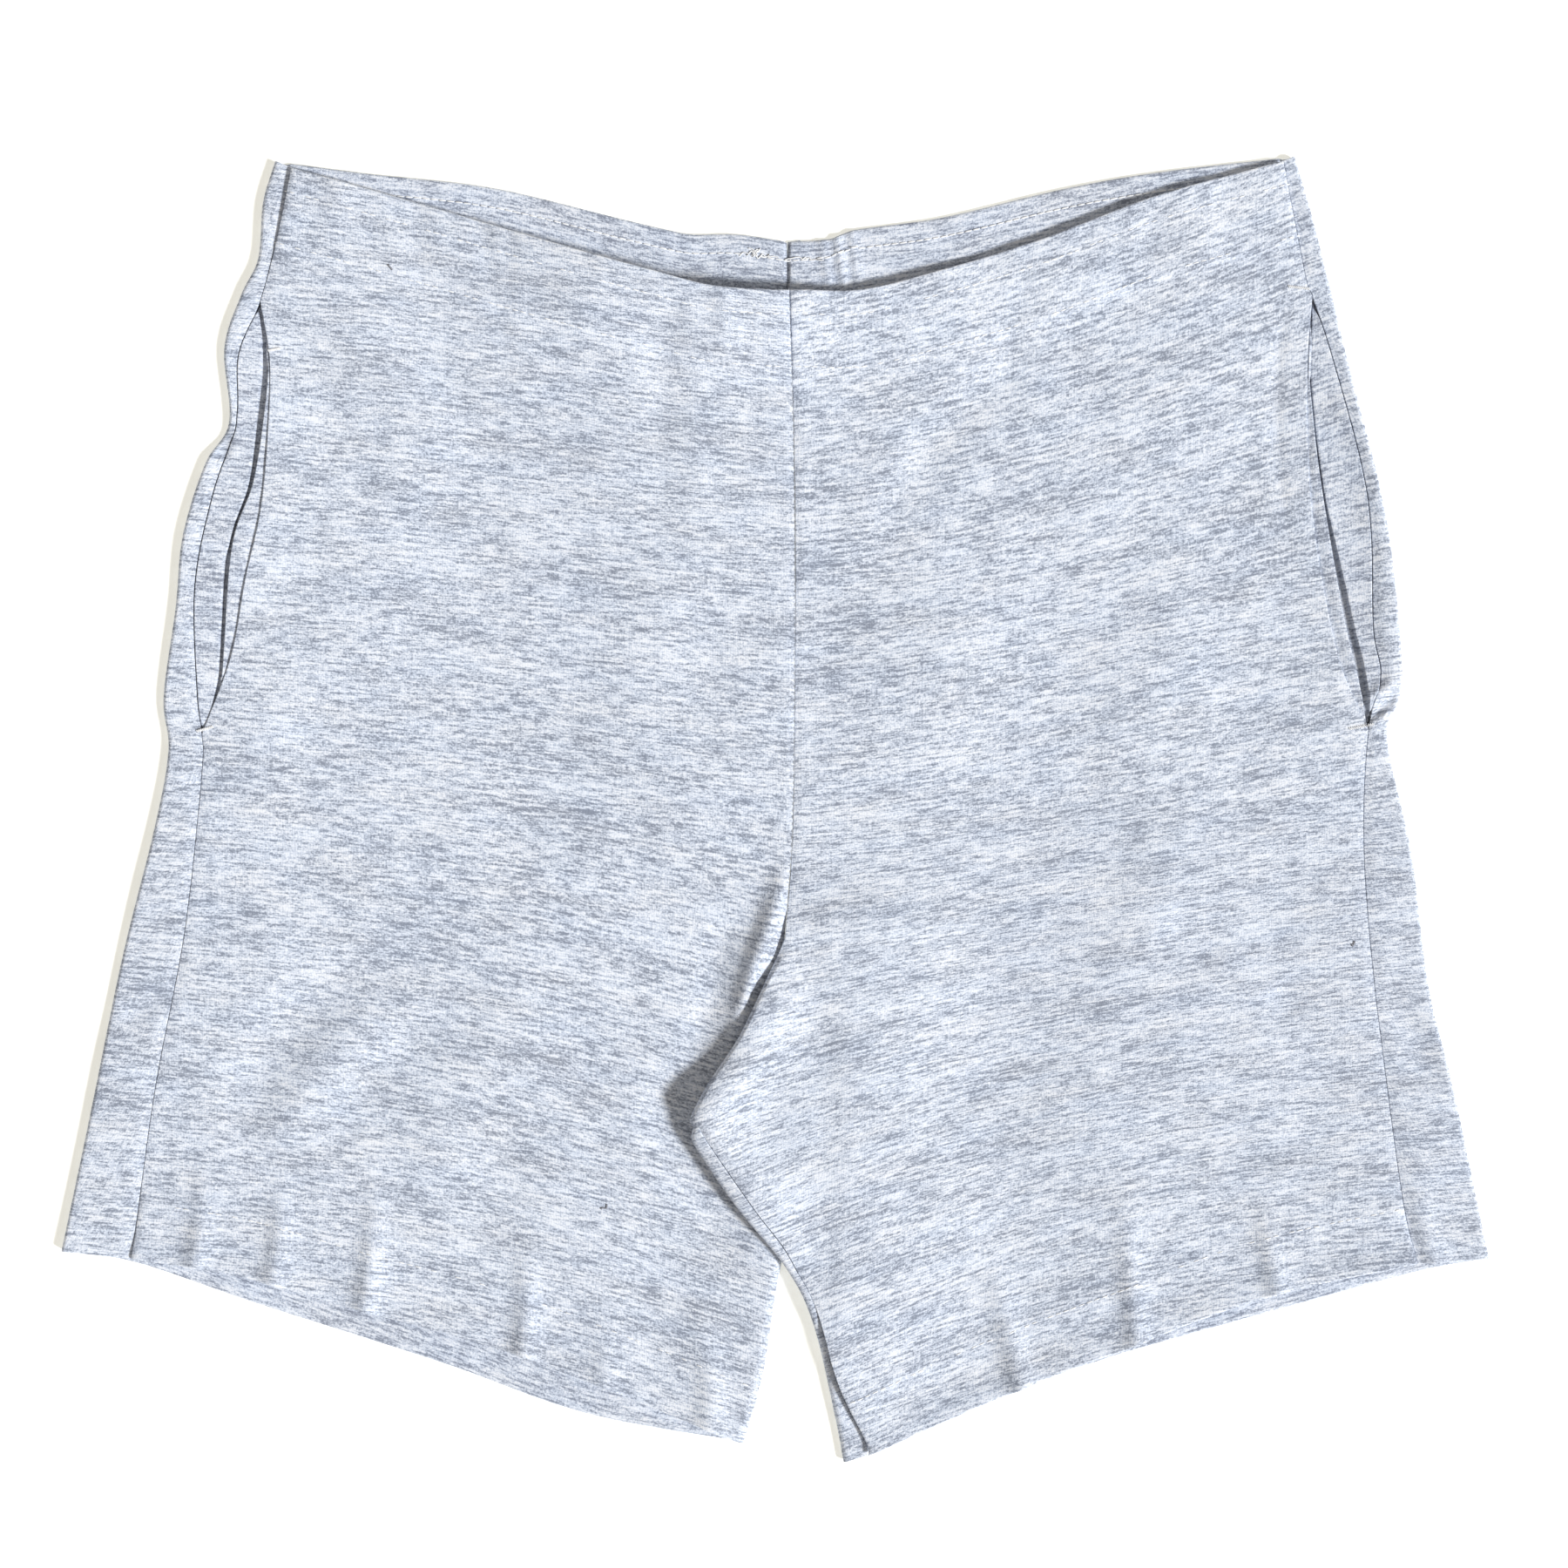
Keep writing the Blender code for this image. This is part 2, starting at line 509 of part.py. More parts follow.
def pocket(side, name, inward):
    """Back and front layers of one pocket bag, inward being the sign of X into the panel."""
    in_mouth = (side.rows > side.mouth_start) & (side.rows <= side.mouth_end)
    below = np.linspace(side.seam[in_mouth, 1][-1], BAG_BOTTOM_Y, BAG_ROWS + 1)[1:]
    y = np.concatenate([[BAG_TOP_Y], side.seam[in_mouth, 1], below])
    seam = np.interp(-y, -side.seam[:, 1], side.seam[:, 0]) + inward * GAP
    inner = bag_inner_edge(seam, y, inward)
    in_mouth = y > side.mouth_curve.points[-1, 1]
    width = np.where(in_mouth, (side.facing_curve.x_at(y) - seam) * inward, 0.0)
    drop = np.maximum(width - FACING_GAP, LEAST_FALL)
    shown = smooth((width - NARROW_MOUTH) / (WIDE_MOUTH - NARROW_MOUTH))
    spread = np.array([0.0, 0.25, 0.5, 0.75, 1.0])
    near = seam[:, None] + inward * drop[:, None] * spread
    far = near[:, -1:] + (inner[:, None] - near[:, -1:]) * np.array([0.33, 0.66, 1.0])
    x = np.hstack([near, far])
    plan = np.stack([x, np.repeat(y[:, None], x.shape[1], axis=1)], axis=-1)
    fall = 1 - smooth(np.abs(x - seam[:, None]) / drop[:, None])
    top = LEVEL + CLOTH + (FRONT_TOP - LEVEL - CLOTH) * shown[:, None] * fall
    add_wall(f"pocket_back_{name}", with_height(plan, top), with_height(plan, top - CLOTH), INSIDE_COLOUR)

    edge = np.where(in_mouth, side.facing_curve.x_at(y), seam) + inward * GAP
    x = edge[:, None] + (inner - edge)[:, None] * np.array([0.0, 0.35, 0.7, 1.0])
    plan = np.stack([x, np.repeat(y[:, None], x.shape[1], axis=1)], axis=-1)
    base = 2 * LEVEL
    add_wall(f"pocket_front_{name}", with_height(plan, base + CLOTH), with_height(plan, base), INSIDE_COLOUR)


def build():
    """Make every piece of the garment."""
    for item in list(bpy.data.objects):
        bpy.data.objects.remove(item)
    left = Side(SIDE_FOLD_LEFT, SIDE_SEAM_LEFT, MOUTH_LEFT, FACING_LEFT)
    right = Side(SIDE_FOLD_RIGHT, SIDE_SEAM_RIGHT, MOUTH_RIGHT, FACING_RIGHT)
    back_left(left)
    back_right(right)
    front_left(left)
    front_right(right)
    strip("casing_left", Curve(WAIST_BACK_LEFT), CASING_DEPTH, (CASING_END, GAP), CASING_COLUMNS)
    strip("casing_right", Curve(WAIST_BACK_RIGHT), CASING_DEPTH, (GAP, CASING_END), CASING_COLUMNS)
    strip("hem_left", Curve(HEM_BACK_LEFT), -HEM_DEPTH, (HEM_END, HEM_END_LEFT_LEG), HEM_COLUMNS)
    strip("hem_right", Curve(HEM_BACK_RIGHT), -HEM_DEPTH, (HEM_END_RIGHT_LEG, HEM_END), HEM_COLUMNS)
    pocket(left, "left", 1.0)
    pocket(right, "right", -1.0)


build()
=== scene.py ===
"""Cotton jersey shorts laid flat, front up: the cloth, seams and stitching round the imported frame.

Lengths are in metres and +Z is up; outlines and creases are given in millimetres. Left and
right are as seen from above, with the waist towards +Y.
"""

from __future__ import annotations

import logging
from dataclasses import dataclass, field
from enum import Enum
from typing import Callable, Sequence

import bmesh
import bpy
import numpy as np
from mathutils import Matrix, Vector

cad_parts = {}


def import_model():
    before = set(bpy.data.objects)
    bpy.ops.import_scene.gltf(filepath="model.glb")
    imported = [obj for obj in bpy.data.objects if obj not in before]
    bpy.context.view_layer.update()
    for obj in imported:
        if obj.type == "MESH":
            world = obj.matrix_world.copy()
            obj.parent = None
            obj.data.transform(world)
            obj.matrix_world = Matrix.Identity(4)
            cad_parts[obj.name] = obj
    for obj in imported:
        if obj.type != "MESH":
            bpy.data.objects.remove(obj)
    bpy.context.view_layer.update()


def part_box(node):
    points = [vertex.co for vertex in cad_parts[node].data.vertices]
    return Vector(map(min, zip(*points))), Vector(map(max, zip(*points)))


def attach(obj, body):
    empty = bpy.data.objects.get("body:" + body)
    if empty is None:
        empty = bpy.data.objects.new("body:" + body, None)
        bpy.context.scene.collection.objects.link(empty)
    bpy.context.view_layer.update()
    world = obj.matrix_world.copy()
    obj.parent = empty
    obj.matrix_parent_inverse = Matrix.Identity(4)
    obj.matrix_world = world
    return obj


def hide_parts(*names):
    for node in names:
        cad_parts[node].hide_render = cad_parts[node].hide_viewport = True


LOG = logging.getLogger("shorts")
MM = 0.001
TINY = 1e-12

Pair = tuple[float, float]
Knots = Sequence[Pair]
Grid = np.ndarray
Colour = tuple[float, float, float]
Piece = bpy.types.Object
Material = bpy.types.Material
Tree = bpy.types.NodeTree
Node = bpy.types.Node
Socket = bpy.types.NodeSocket


# ---- cloth and its levels

@dataclass(frozen=True)
class ClothSizes:
    """Walls, levels and turnings that every piece of the garment shares.

    The lift sizes say where the right leg rises on to the left one, and the corner sizes where
    its inner edge passes from the fold at the crotch to the inseam.
    """

    wall: float = 0.0011
    doubled: float = 0.0024
    gap: float = 0.0003
    seam_gap: float = 0.0001
    casing_depth: float = 0.032
    hem_depth: float = 0.025
    front_top: float = 0.0053
    leg_over_leg: float = 0.0041
    lift_shelf: float = 0.005
    lift_run: float = 0.016
    lift_start_y: float = -0.025
    lift_full_y: float = -0.053
    turn_run: float = 0.020
    corner_run: float = 0.012
    corner_lead: float = 0.004
    inseam_clear: float = 0.0012
    deepest: float = 0.0026
    spacing: float = 0.0021

    @property
    def level(self) -> float:
        """Rise from one layer of cloth to the next."""
        return self.wall + self.gap

    @property
    def lift(self) -> float:
        """How far the right leg is raised where it lies on the left one."""
        return self.front_top + self.gap


CLOTH = ClothSizes()

# Distances from a rim of the rings that round it, as shares of the rim's radius
RIM_RINGS = np.array([0.0, 0.04, 0.15, 0.35, 0.65, 1.0])

# The most of a short tail of cloth that its rounded rim takes up
TAIL_RIM = 0.4

# The least part of a half turn, and the part from which the side of the turn is its widest place
LEAST_TURN = 1e-6
WIDE_TURN = 0.49

# How many widths from its path a crease is felt
CREASE_REACH = 2.5


class Hand(Enum):
    """The side of the garment that a piece is on, with the sign of X from the centre seam."""

    LEFT = -1
    RIGHT = 1

    @property
    def word(self) -> str:
        """The side's name as it stands in the names of pieces."""
        return self.name.lower()


# ---- outlines, waist down

CENTRE_FRONT = [(6, 214), (8, 130), (8, 46), (7, -11), (4, -53)]
CENTRE_BACK = [(5, 234), (6, 214), (8, 130), (8, 46), (7, -11), (4, -53)]
INNER_LEG_LEFT = [(4, -53), (11, -90), (13, -122), (9, -158), (1, -195), (-5, -233), (-13, -261)]
OVERLAP_EDGE = [(4, -53), (11, -90), (13, -122), (10, -158), (9, -180), (10, -198), (2, -225), (-13, -261)]
CROTCH_FOLD = [(4, -53), (-8, -79), (-16, -95), (-28, -113), (-36, -128)]
INNER_LEG_RIGHT = [(-36, -128), (-33, -138), (-16, -163), (4, -188), (15, -210), (24, -248), (28, -269)]
INSEAM_RIGHT = [(-33, -129), (-24, -143), (-8, -166), (6, -185), (17, -209), (27, -240), (39, -266)]
SIDE_FOLD_LEFT = [
    (-206, 267), (-211, 250), (-213, 227), (-220, 212), (-227, 190), (-225, 160), (-235, 142),
    (-244, 113), (-247, 83), (-252, 46), (-250, 24), (-256, -9), (-269, -61), (-281, -120), (-294, -182),
]
SIDE_SEAM_LEFT = [
    (-199, 264), (-205, 235), (-212, 209), (-221, 187), (-222, 160), (-232, 128), (-239, 91),
    (-238, 47), (-236, 31), (-236, 15), (-243, -50), (-255, -114), (-265, -185),
]
MOUTH_LEFT = [(-212, 209), (-208, 184), (-209, 151), (-212, 122), (-218, 95), (-224, 63), (-236, 31)]
FACING_LEFT = [(-212, 209), (-209, 189), (-210, 168), (-215, 135), (-224, 107), (-229, 46), (-236, 31)]
SIDE_FOLD_RIGHT = [
    (214, 269), (222, 241), (237, 180), (252, 117), (258, 61), (257, 45), (252, 29), (262, -18),
    (269, -72), (280, -118), (294, -185),
]
SIDE_SEAM_RIGHT = [
    (209, 267), (218, 220), (221, 211), (229, 187), (241, 141), (245, 113), (246, 74), (249, 55),
    (244, 33), (242, -5), (244, -47), (250, -101), (258, -160), (264, -187),
]
MOUTH_RIGHT = [(221, 211), (219, 184), (219, 149), (222, 113), (231, 65), (239, 44), (244, 33)]
FACING_RIGHT = [(221, 211), (220, 184), (221, 166), (225, 132), (234, 80), (240, 54), (244, 33)]

# Down each pocket mouth: y, the gap beside the front layer, the run in which the back layer
# falls away there, and the back layer's height before it falls
POCKET_GAPE_LEFT = [
    (212, 0.4, 0.6, 4.4), (190, 1.8, 0.8, 4.4), (160, 2.2, 0.8, 4.3), (140, 1.2, 0.8, 4.5),
    (122, 0.5, 0.6, 4.8), (109, 0.6, 0.6, 5.0), (103, 1.4, 0.8, 5.0), (80, 0.9, 0.9, 4.8),
    (55, 0.6, 1.4, 4.6), (42, 1.4, 1.0, 4.8), (31, 0.8, 0.8, 4.6),
]
POCKET_GAPE_RIGHT = [
    (212, 0.1, 0.4, 4.9), (150, 0.1, 0.4, 4.9), (126, 0.2, 0.6, 4.9), (108, 0.9, 1.2, 5.0),
    (90, 2.0, 1.0, 5.2), (62, 2.6, 1.0, 5.4), (50, 2.0, 1.0, 5.2), (33, 0.6, 1.0, 4.6),
]

# Outlines from left to right
WAIST_BACK_LEFT = [
    (-206, 267), (-168, 262), (-116, 256), (-62, 243), (-45, 239), (-34, 237), (-16, 237), (5, 234),
]
WAIST_BACK_RIGHT = [(5, 234), (22, 235), (34, 239), (69, 244), (120, 256), (161, 263), (214, 269)]
WAIST_FRONT_LEFT = [(-199, 264), (-147, 250), (-86, 233), (-48, 223), (-20, 216), (6, 214)]
WAIST_FRONT_RIGHT = [(6, 214), (31, 214), (61, 221), (108, 235), (154, 252), (209, 267)]
HEM_BACK_LEFT = [(-294, -182), (-263, -187), (-213, -204), (-138, -228), (-78, -249), (-13, -261)]
HEM_BACK_RIGHT = [(28, -269), (40, -266), (79, -248), (135, -227), (201, -208), (263, -191), (294, -185)]
HEM_FRONT_LEFT = [(-265, -185), (-221, -192), (-175, -205), (-110, -223), (-50, -246), (-13, -261)]
HEM_FRONT_RIGHT = [(39, -264), (92, -241), (145, -221), (200, -201), (264, -187)]


# ---- plan geometry

def smooth(value: Grid | float) -> Grid:
    """Ease from 0 to 1 as value goes from 0 to 1, and hold outside that.

    Args:
        value: One number or an array of them.

    Returns:
        The eased values.
    """
    value = np.clip(value, 0.0, 1.0)
    return value * value * (3.0 - 2.0 * value)


def bump(distance: Grid, width: float) -> Grid:
    """A soft hump that is 1 at no distance and gone at about two widths."""
    return np.exp(-(distance / width) ** 2)


class Curve:
    """A smooth plan curve through points in millimetres, read by its length in metres."""

    nearest_step: float = 0.0015

    def __init__(self, *runs: Knots) -> None:
        """Join one spline for each run, with a corner where two runs meet."""
        pieces = [self.spline(np.array(run, float) * MM) for run in runs]
        self.points = np.concatenate([pieces[0]] + [piece[1:] for piece in pieces[1:]])
        steps = np.linalg.norm(np.diff(self.points, axis=0), axis=1)
        self.along = np.concatenate([[0.0], np.cumsum(steps)])
        self.length = self.along[-1]

    @staticmethod
    def spline(knots: Grid, fineness: int = 24) -> Grid:
        """Catmull-Rom points through the knots.

        Args:
            knots: The points to pass through.
            fineness: Points made for each pair of knots.

        Returns:
            The points of the curve.
        """
        ends = np.vstack([2 * knots[0] - knots[1], knots, 2 * knots[-1] - knots[-2]])
        t = np.linspace(0.0, 1.0, fineness, endpoint=False)[:, None]
        runs = []
        for a, b, c, d in zip(ends, ends[1:], ends[2:], ends[3:]):
            runs.append(0.5 * (2 * b + (c - a) * t + (2 * a - 5 * b + 4 * c - d) * t**2
                               + (3 * b - a - 3 * c + d) * t**3))
        return np.vstack(runs + [knots[-1:]])

    def at(self, distance: Grid) -> Grid:
        """Plan points at the given distances from the curve's start."""
        distance = np.asarray(distance, float)
        return np.stack([np.interp(distance, self.along, self.points[:, axis]) for axis in (0, 1)], axis=-1)

    def part(self, share: Grid) -> Grid:
        """Plan points at the given shares of the curve's length."""
        return self.at(np.asarray(share) * self.length)

    def x_at(self, y: Grid) -> Grid:
        """Where the curve crosses the given y, for a curve that only runs down."""
        return np.interp(-np.asarray(y), -self.points[:, 1], self.points[:, 0])

    def nearest(self, point: Pair) -> float:
        """Distance along the curve of the place nearest to a point in millimetres."""
        return self.along[np.argmin(np.linalg.norm(self.points - np.array(point) * MM, axis=1))]

    def distance_to(self, plan: Grid) -> tuple[Grid, Grid]:
        """How far points are from the curve, and where along it.

        Args:
            plan: Plan points, in any arrangement.

        Returns:
            The distance of each point, and the share of the length at its nearest place.
        """
        step = max(1, int(self.nearest_step / (self.length / len(self.points))))
        knots = self.points[::step]
        share = self.along[::step] / self.length
        flat = plan.reshape(-1, 2)
        away = np.linalg.norm(flat[:, None] - knots[None], axis=2)
        best = np.argmin(away, axis=1)
        distance = away[np.arange(len(flat)), best]
        return distance.reshape(plan.shape[:-1]), share[best].reshape(plan.shape[:-1])


def towards(start: Grid, end: Grid) -> Grid:
    """Unit plan directions from one edge to another."""
    away = end - start
    return away / np.linalg.norm(away, axis=1, keepdims=True)


def between(curve: Curve, start: Grid, end: Grid) -> Callable[[Grid], Grid]:
    """A function from shares to points on a curve, stretched to new end points.

    Args:
        curve: The curve to follow.
        start: Where its first point is moved to.
        end: Where its last point is moved to.

    Returns:
        The function.
    """
    def read(shares: Grid) -> Grid:
        """Points at the given shares."""
        share = np.asarray(shares)[..., None]
        shift = (1 - share) * (start - curve.part(0.0)) + share * (end - curve.part(1.0))
        return curve.part(shares) + shift
    return read


def patch(inner: Grid, outer: Grid, top: Callable[[Grid], Grid], bottom: Callable[[Grid], Grid],
          shares: Grid) -> Grid:
    """Plan grid between two side edges, bent to follow the top and bottom curves.

    Args:
        inner: Points down the inner edge, one a row.
        outer: Points down the outer edge, one a row.
        top: The first row's curve, from shares to points.
        bottom: The last row's curve, from shares to points.
        shares: Places of the columns on each row, from 0 to 1.

    Returns:
        The plan points, rows by columns.
    """
    middle = (inner + outer) / 2
    down = np.concatenate([[0.0], np.cumsum(np.linalg.norm(np.diff(middle, axis=0), axis=1))])
    v = (down / down[-1])[:, None, None]
    u = shares[:, :, None]
    grid = (1 - u) * inner[:, None] + u * outer[:, None]
    for curve, row, weight in ((top, 0, 1 - v), (bottom, -1, v)):
        straight = (1 - u) * inner[row] + u * outer[row]
        grid = grid + weight * (curve(shares) - straight)
    return grid


def with_height(plan: Grid, height: Grid | float) -> Grid:
    """Plan points raised to a height."""
    height = np.broadcast_to(height, plan.shape[:-1])
    return np.concatenate([plan, height[..., None]], axis=-1)


def rim_places(length: Grid, radius: Grid, count: int, start: bool, end: bool) -> Grid:
    """Places along each row of a grid, with rings beside the rims that get rounded.

    Args:
        length: The length of each row.
        radius: The radius of the rim on each row.
        count: The number of even steps between the rims.
        start: Whether the start of the row is a rim.
        end: Whether the end of the row is one.

    Returns:
        The distance of each point from the start of its row, rows by points.
    """
    rings = radius[:, None] * RIM_RINGS[None]
    length = length[:, None]
    first = rings[:, -1:] if start else 0 * length
    last = length - rings[:, -1:] if end else length
    places = first + (last - first) * np.linspace(0.0, 1.0, count + 1)
    if start:
        places = np.hstack([rings[:, :-1], places])
    if end:
        places = np.hstack([places, length - rings[:, -2::-1]])
    return places


@dataclass
class Turn:
    """Cloth that turns over at an edge, row by row, and keeps its length.

    share is the part of a half turn that is made, tail the straight length after it, and squash
    how narrow the turn is for its height.
    """

    edge: Grid
    heading: Grid
    radius: Grid
    share: Grid
    tail: Grid
    arc_steps: int = 12
    tail_steps: int = 8
    squash: float = 1.0

    def __post_init__(self) -> None:
        """Work out the start of the turn and each step's reach, rise and run of cloth."""
        bend = np.maximum(self.share, LEAST_TURN)[:, None] / self.radius[:, None]
        half = np.pi * self.radius[:, None]
        arc = np.linspace(0.0, 1.0, self.arc_steps + 1)[1:] * half
        rim = np.minimum(CLOTH.wall / 2, self.tail * TAIL_RIM)
        places = rim_places(self.tail, rim, self.tail_steps, False, True)[:, 1:]
        angle = self.share[:, None] * np.pi
        self.out = np.hstack([self.squash * np.sin(bend * arc) / bend,
                              self.squash * np.sin(bend * half) / bend + places * np.cos(angle)])
        self.rise = np.hstack([(1 - np.cos(bend * arc)) / bend,
                               (1 - np.cos(bend * half)) / bend + places * np.sin(angle)])
        self.run = np.hstack([arc, half + places])
        reach = np.where(self.share > WIDE_TURN, self.squash / bend[:, 0], self.out[:, -1])
        self.start = self.edge - self.heading * reach[:, None]

    def plan(self) -> Grid:
        """Plan points of the turned cloth."""
        return self.start[:, None] + self.heading[:, None] * self.out[:, :, None]

    def unrolled(self) -> Grid:
        """Plan points that the cloth would have with the turn laid out flat."""
        return self.start[:, None] + self.heading[:, None] * self.run[:, :, None]


# ---- creases and courses

@dataclass(frozen=True)
class Crease:
    """A soft ridge, or a trough where its height is negative, along a path in millimetres."""

    path: Knots
    height: float
    width: float
    start_fade: float = 0.3
    end_fade: float = 0.3

    def rise(self, plan: Grid) -> Grid:
        """Height that the crease adds.

        Args:
            plan: Plan points.

        Returns:
            The height at each point.
        """
        curve = Curve(self.path)
        reach = self.width * MM * CREASE_REACH
        low, high = curve.points.min(axis=0) - reach, curve.points.max(axis=0) + reach
        near = ((plan > low) & (plan < high)).all(axis=-1)
        rise = np.zeros(plan.shape[:-1])
        if not near.any():
            return rise
        distance, share = curve.distance_to(plan[near])
        fade = smooth(share / self.start_fade) if self.start_fade else np.ones_like(share)
        if self.end_fade:
            fade = fade * smooth((1 - share) / self.end_fade)
        rise[near] = self.height * MM * fade * bump(distance, self.width * MM)
        return rise


@dataclass(frozen=True)
class Undulation:
    """The slight waviness of cloth that has been laid down by hand."""

    seed: int
    height: float
    longest: float = 0.110
    shortest: float = 0.030
    waves: int = 22
    slant: float = 0.9

    def rise(self, plan: Grid) -> Grid:
        """Height that the waves add.

        Args:
            plan: Plan points.

        Returns:
            The height at each point.
        """
        draw = np.random.default_rng(self.seed)
        total = np.zeros(plan.shape[:-1])
        for _ in range(self.waves):
            length = draw.uniform(self.shortest, self.longest)
            heading = draw.uniform(-self.slant, self.slant)
            phase = draw.uniform(0.0, 2 * np.pi)
            across = plan[..., 0] * np.cos(heading) + plan[..., 1] * np.sin(heading)
            total += np.sin(2 * np.pi * across / length + phase) * length / self.longest
        return self.height * total / np.sqrt(self.waves)


@dataclass(frozen=True)
class Gathers:
    """Short soft folds that the waist elastic draws into the cloth below the waist edge."""

    edge: Knots
    seed: int
    height: float = 0.0007
    count: int = 15
    ends: Pair = (0.04, 0.96)
    jitter: float = 0.02
    widths: Pair = (0.0030, 0.0075)
    reaches: Pair = (0.022, 0.055)
    sizes: Pair = (-1.0, 0.8)
    lean: float = 0.25

    def rise(self, plan: Grid) -> Grid:
        """Height that the gathers add.

        Args:
            plan: Plan points.

        Returns:
            The height at each point.
        """
        draw = np.random.default_rng(self.seed)
        curve = Curve(self.edge)
        below = np.interp(plan[..., 0], curve.points[:, 0], curve.points[:, 1]) - plan[..., 1]
        total = np.zeros(plan.shape[:-1])
        for place in np.linspace(*self.ends, self.count):
            x = curve.part(place + draw.uniform(-self.jitter, self.jitter))[0]
            width, reach = draw.uniform(*self.widths), draw.uniform(*self.reaches)
            lean, size = draw.uniform(-self.lean, self.lean), draw.uniform(*self.sizes)
            across = plan[..., 0] - x - lean * below
            total += size * bump(across, width) * bump(np.maximum(below, 0.0), reach)
        return self.height * total


class Relief:
    """Everything that lifts or sinks the laid cloth of one side away from its flat form."""

    def __init__(self, *parts: Undulation | Gathers, creases: Sequence[Crease]) -> None:
        """Keep the waves, the gathers and the creases."""
        self.parts = [*parts, *creases]

    def rise(self, plan: Grid) -> Grid:
        """Total height that the cloth gains at plan points, never so low that it meets the back."""
        total = sum(part.rise(plan) for part in self.parts)
        return np.where(total < 0, CLOTH.deepest * np.tanh(total / CLOTH.deepest), total)


@dataclass(frozen=True)
class Courses:
    """How the knitted courses slope over a panel: angles in degrees on a coarse plan grid."""

    x: tuple[float, ...]
    y: tuple[float, ...]
    slope: tuple[tuple[float, ...], ...]
    fineness: int = 121

    def straightened(self, plan: Grid, across: Grid | None = None) -> Grid:
        """Plan points with the slope of the courses taken out.

        Args:
            plan: Plan points of the cloth as it lies.
            across: Places across the wales, where the cloth turns over, or none where it is flat.

        Returns:
            Points whose second value is the same all along a course.
        """
        fine_x = np.linspace(self.x[0], self.x[-1], self.fineness)
        slopes = np.array([np.interp(fine_x, self.x, np.tan(np.radians(row))) for row in self.slope])
        steps = np.diff(fine_x) * (slopes[:, 1:] + slopes[:, :-1]) / 2
        fall = np.hstack([np.zeros((len(self.y), 1)), np.cumsum(steps, axis=1)]) * MM
        x, y = plan[..., 0] / MM, plan[..., 1] / MM
        column = np.array([np.interp(x, fine_x, row) for row in fall])
        place = np.interp(-y, -np.array(self.y), np.arange(len(self.y)))
        low = np.minimum(place.astype(int), len(self.y) - 2)
        share = place - low
        above = np.take_along_axis(column, low[None], axis=0)[0]
        below = np.take_along_axis(column, low[None] + 1, axis=0)[0]
        level = plan[..., 1] - (above * (1 - share) + below * share)
        return np.stack([plan[..., 0] if across is None else across, level], axis=-1)


COURSES_LEFT = Courses(
    x=(-300, -230, -150, -60, 15),
    y=(275, 225, 190, 100, 0, -80, -160, -275),
    slope=(
        (-8, -8, -10, -13, -15), (-7, -7, -9, -11, -12), (-5, -5, -7, -9, -8), (-4, -4, -5, -6, -2),
        (-4, -4, -5, -7, -4), (-4, -5, -7, -12, -14), (-4, -5, -8, -14, -17), (-4, -5, -9, -15, -18),
    ),
)
COURSES_RIGHT = Courses(
    x=(-45, 10, 70, 160, 240, 300),
    y=(275, 225, 190, 100, 0, -80, -160, -275),
    slope=(
        (9, 11, 15, 19, 20, 20), (8, 10, 14, 16, 17, 17), (5, 8, 12, 14, 15, 14), (0, 2, 9, 11, 9, 8),
        (0, 3, 10, 11, 9, 8), (18, 14, 14, 11, 8, 6), (24, 22, 19, 12, 7, 5), (25, 24, 20, 12, 5, 4),
    ),
)


# ---- mesh of one wall of cloth

def normals_of(grid: Grid) -> Grid:
    """Unit normals of a grid of points."""
    normal = np.cross(np.gradient(grid, axis=1), np.gradient(grid, axis=0))
    return normal / np.maximum(np.linalg.norm(normal, axis=2, keepdims=True), TINY)


def runs_along(grid: Grid, axis: int) -> tuple[Grid, Grid]:
    """Distances of a grid's points from its two ends along an axis.

    Args:
        grid: Points in space, rows by columns.
        axis: 0 to run down the columns, and 1 to run along the rows.

    Returns:
        The distances from the first row or column, and from the last.
    """
    steps = np.linalg.norm(np.diff(grid, axis=axis), axis=2)
    run = np.cumsum(steps, axis=axis)
    run = np.concatenate([np.zeros_like(np.take(run, [0], axis=axis)), run], axis=axis)
    return run, np.take(run, [-1], axis=axis) - run


def line_at(points: Grid, run: Grid, value: float) -> Grid:
    """The place on each row of a grid where a run has one value.

    Args:
        points: Points in space, rows by columns.
        run: A run that grows along each row.
        value: The value to look for.

    Returns:
        One point for each row.
    """
    return np.array([[np.interp(value, along, row[:, axis]) for axis in range(3)]
                     for along, row in zip(run, points)])


def linked(name: str, data: bpy.types.ID) -> Piece:
    """A new object at the origin, with its mesh, light or camera, in the scene."""
    made = bpy.data.objects.new(name, data)
    bpy.context.scene.collection.objects.link(made)
    return made


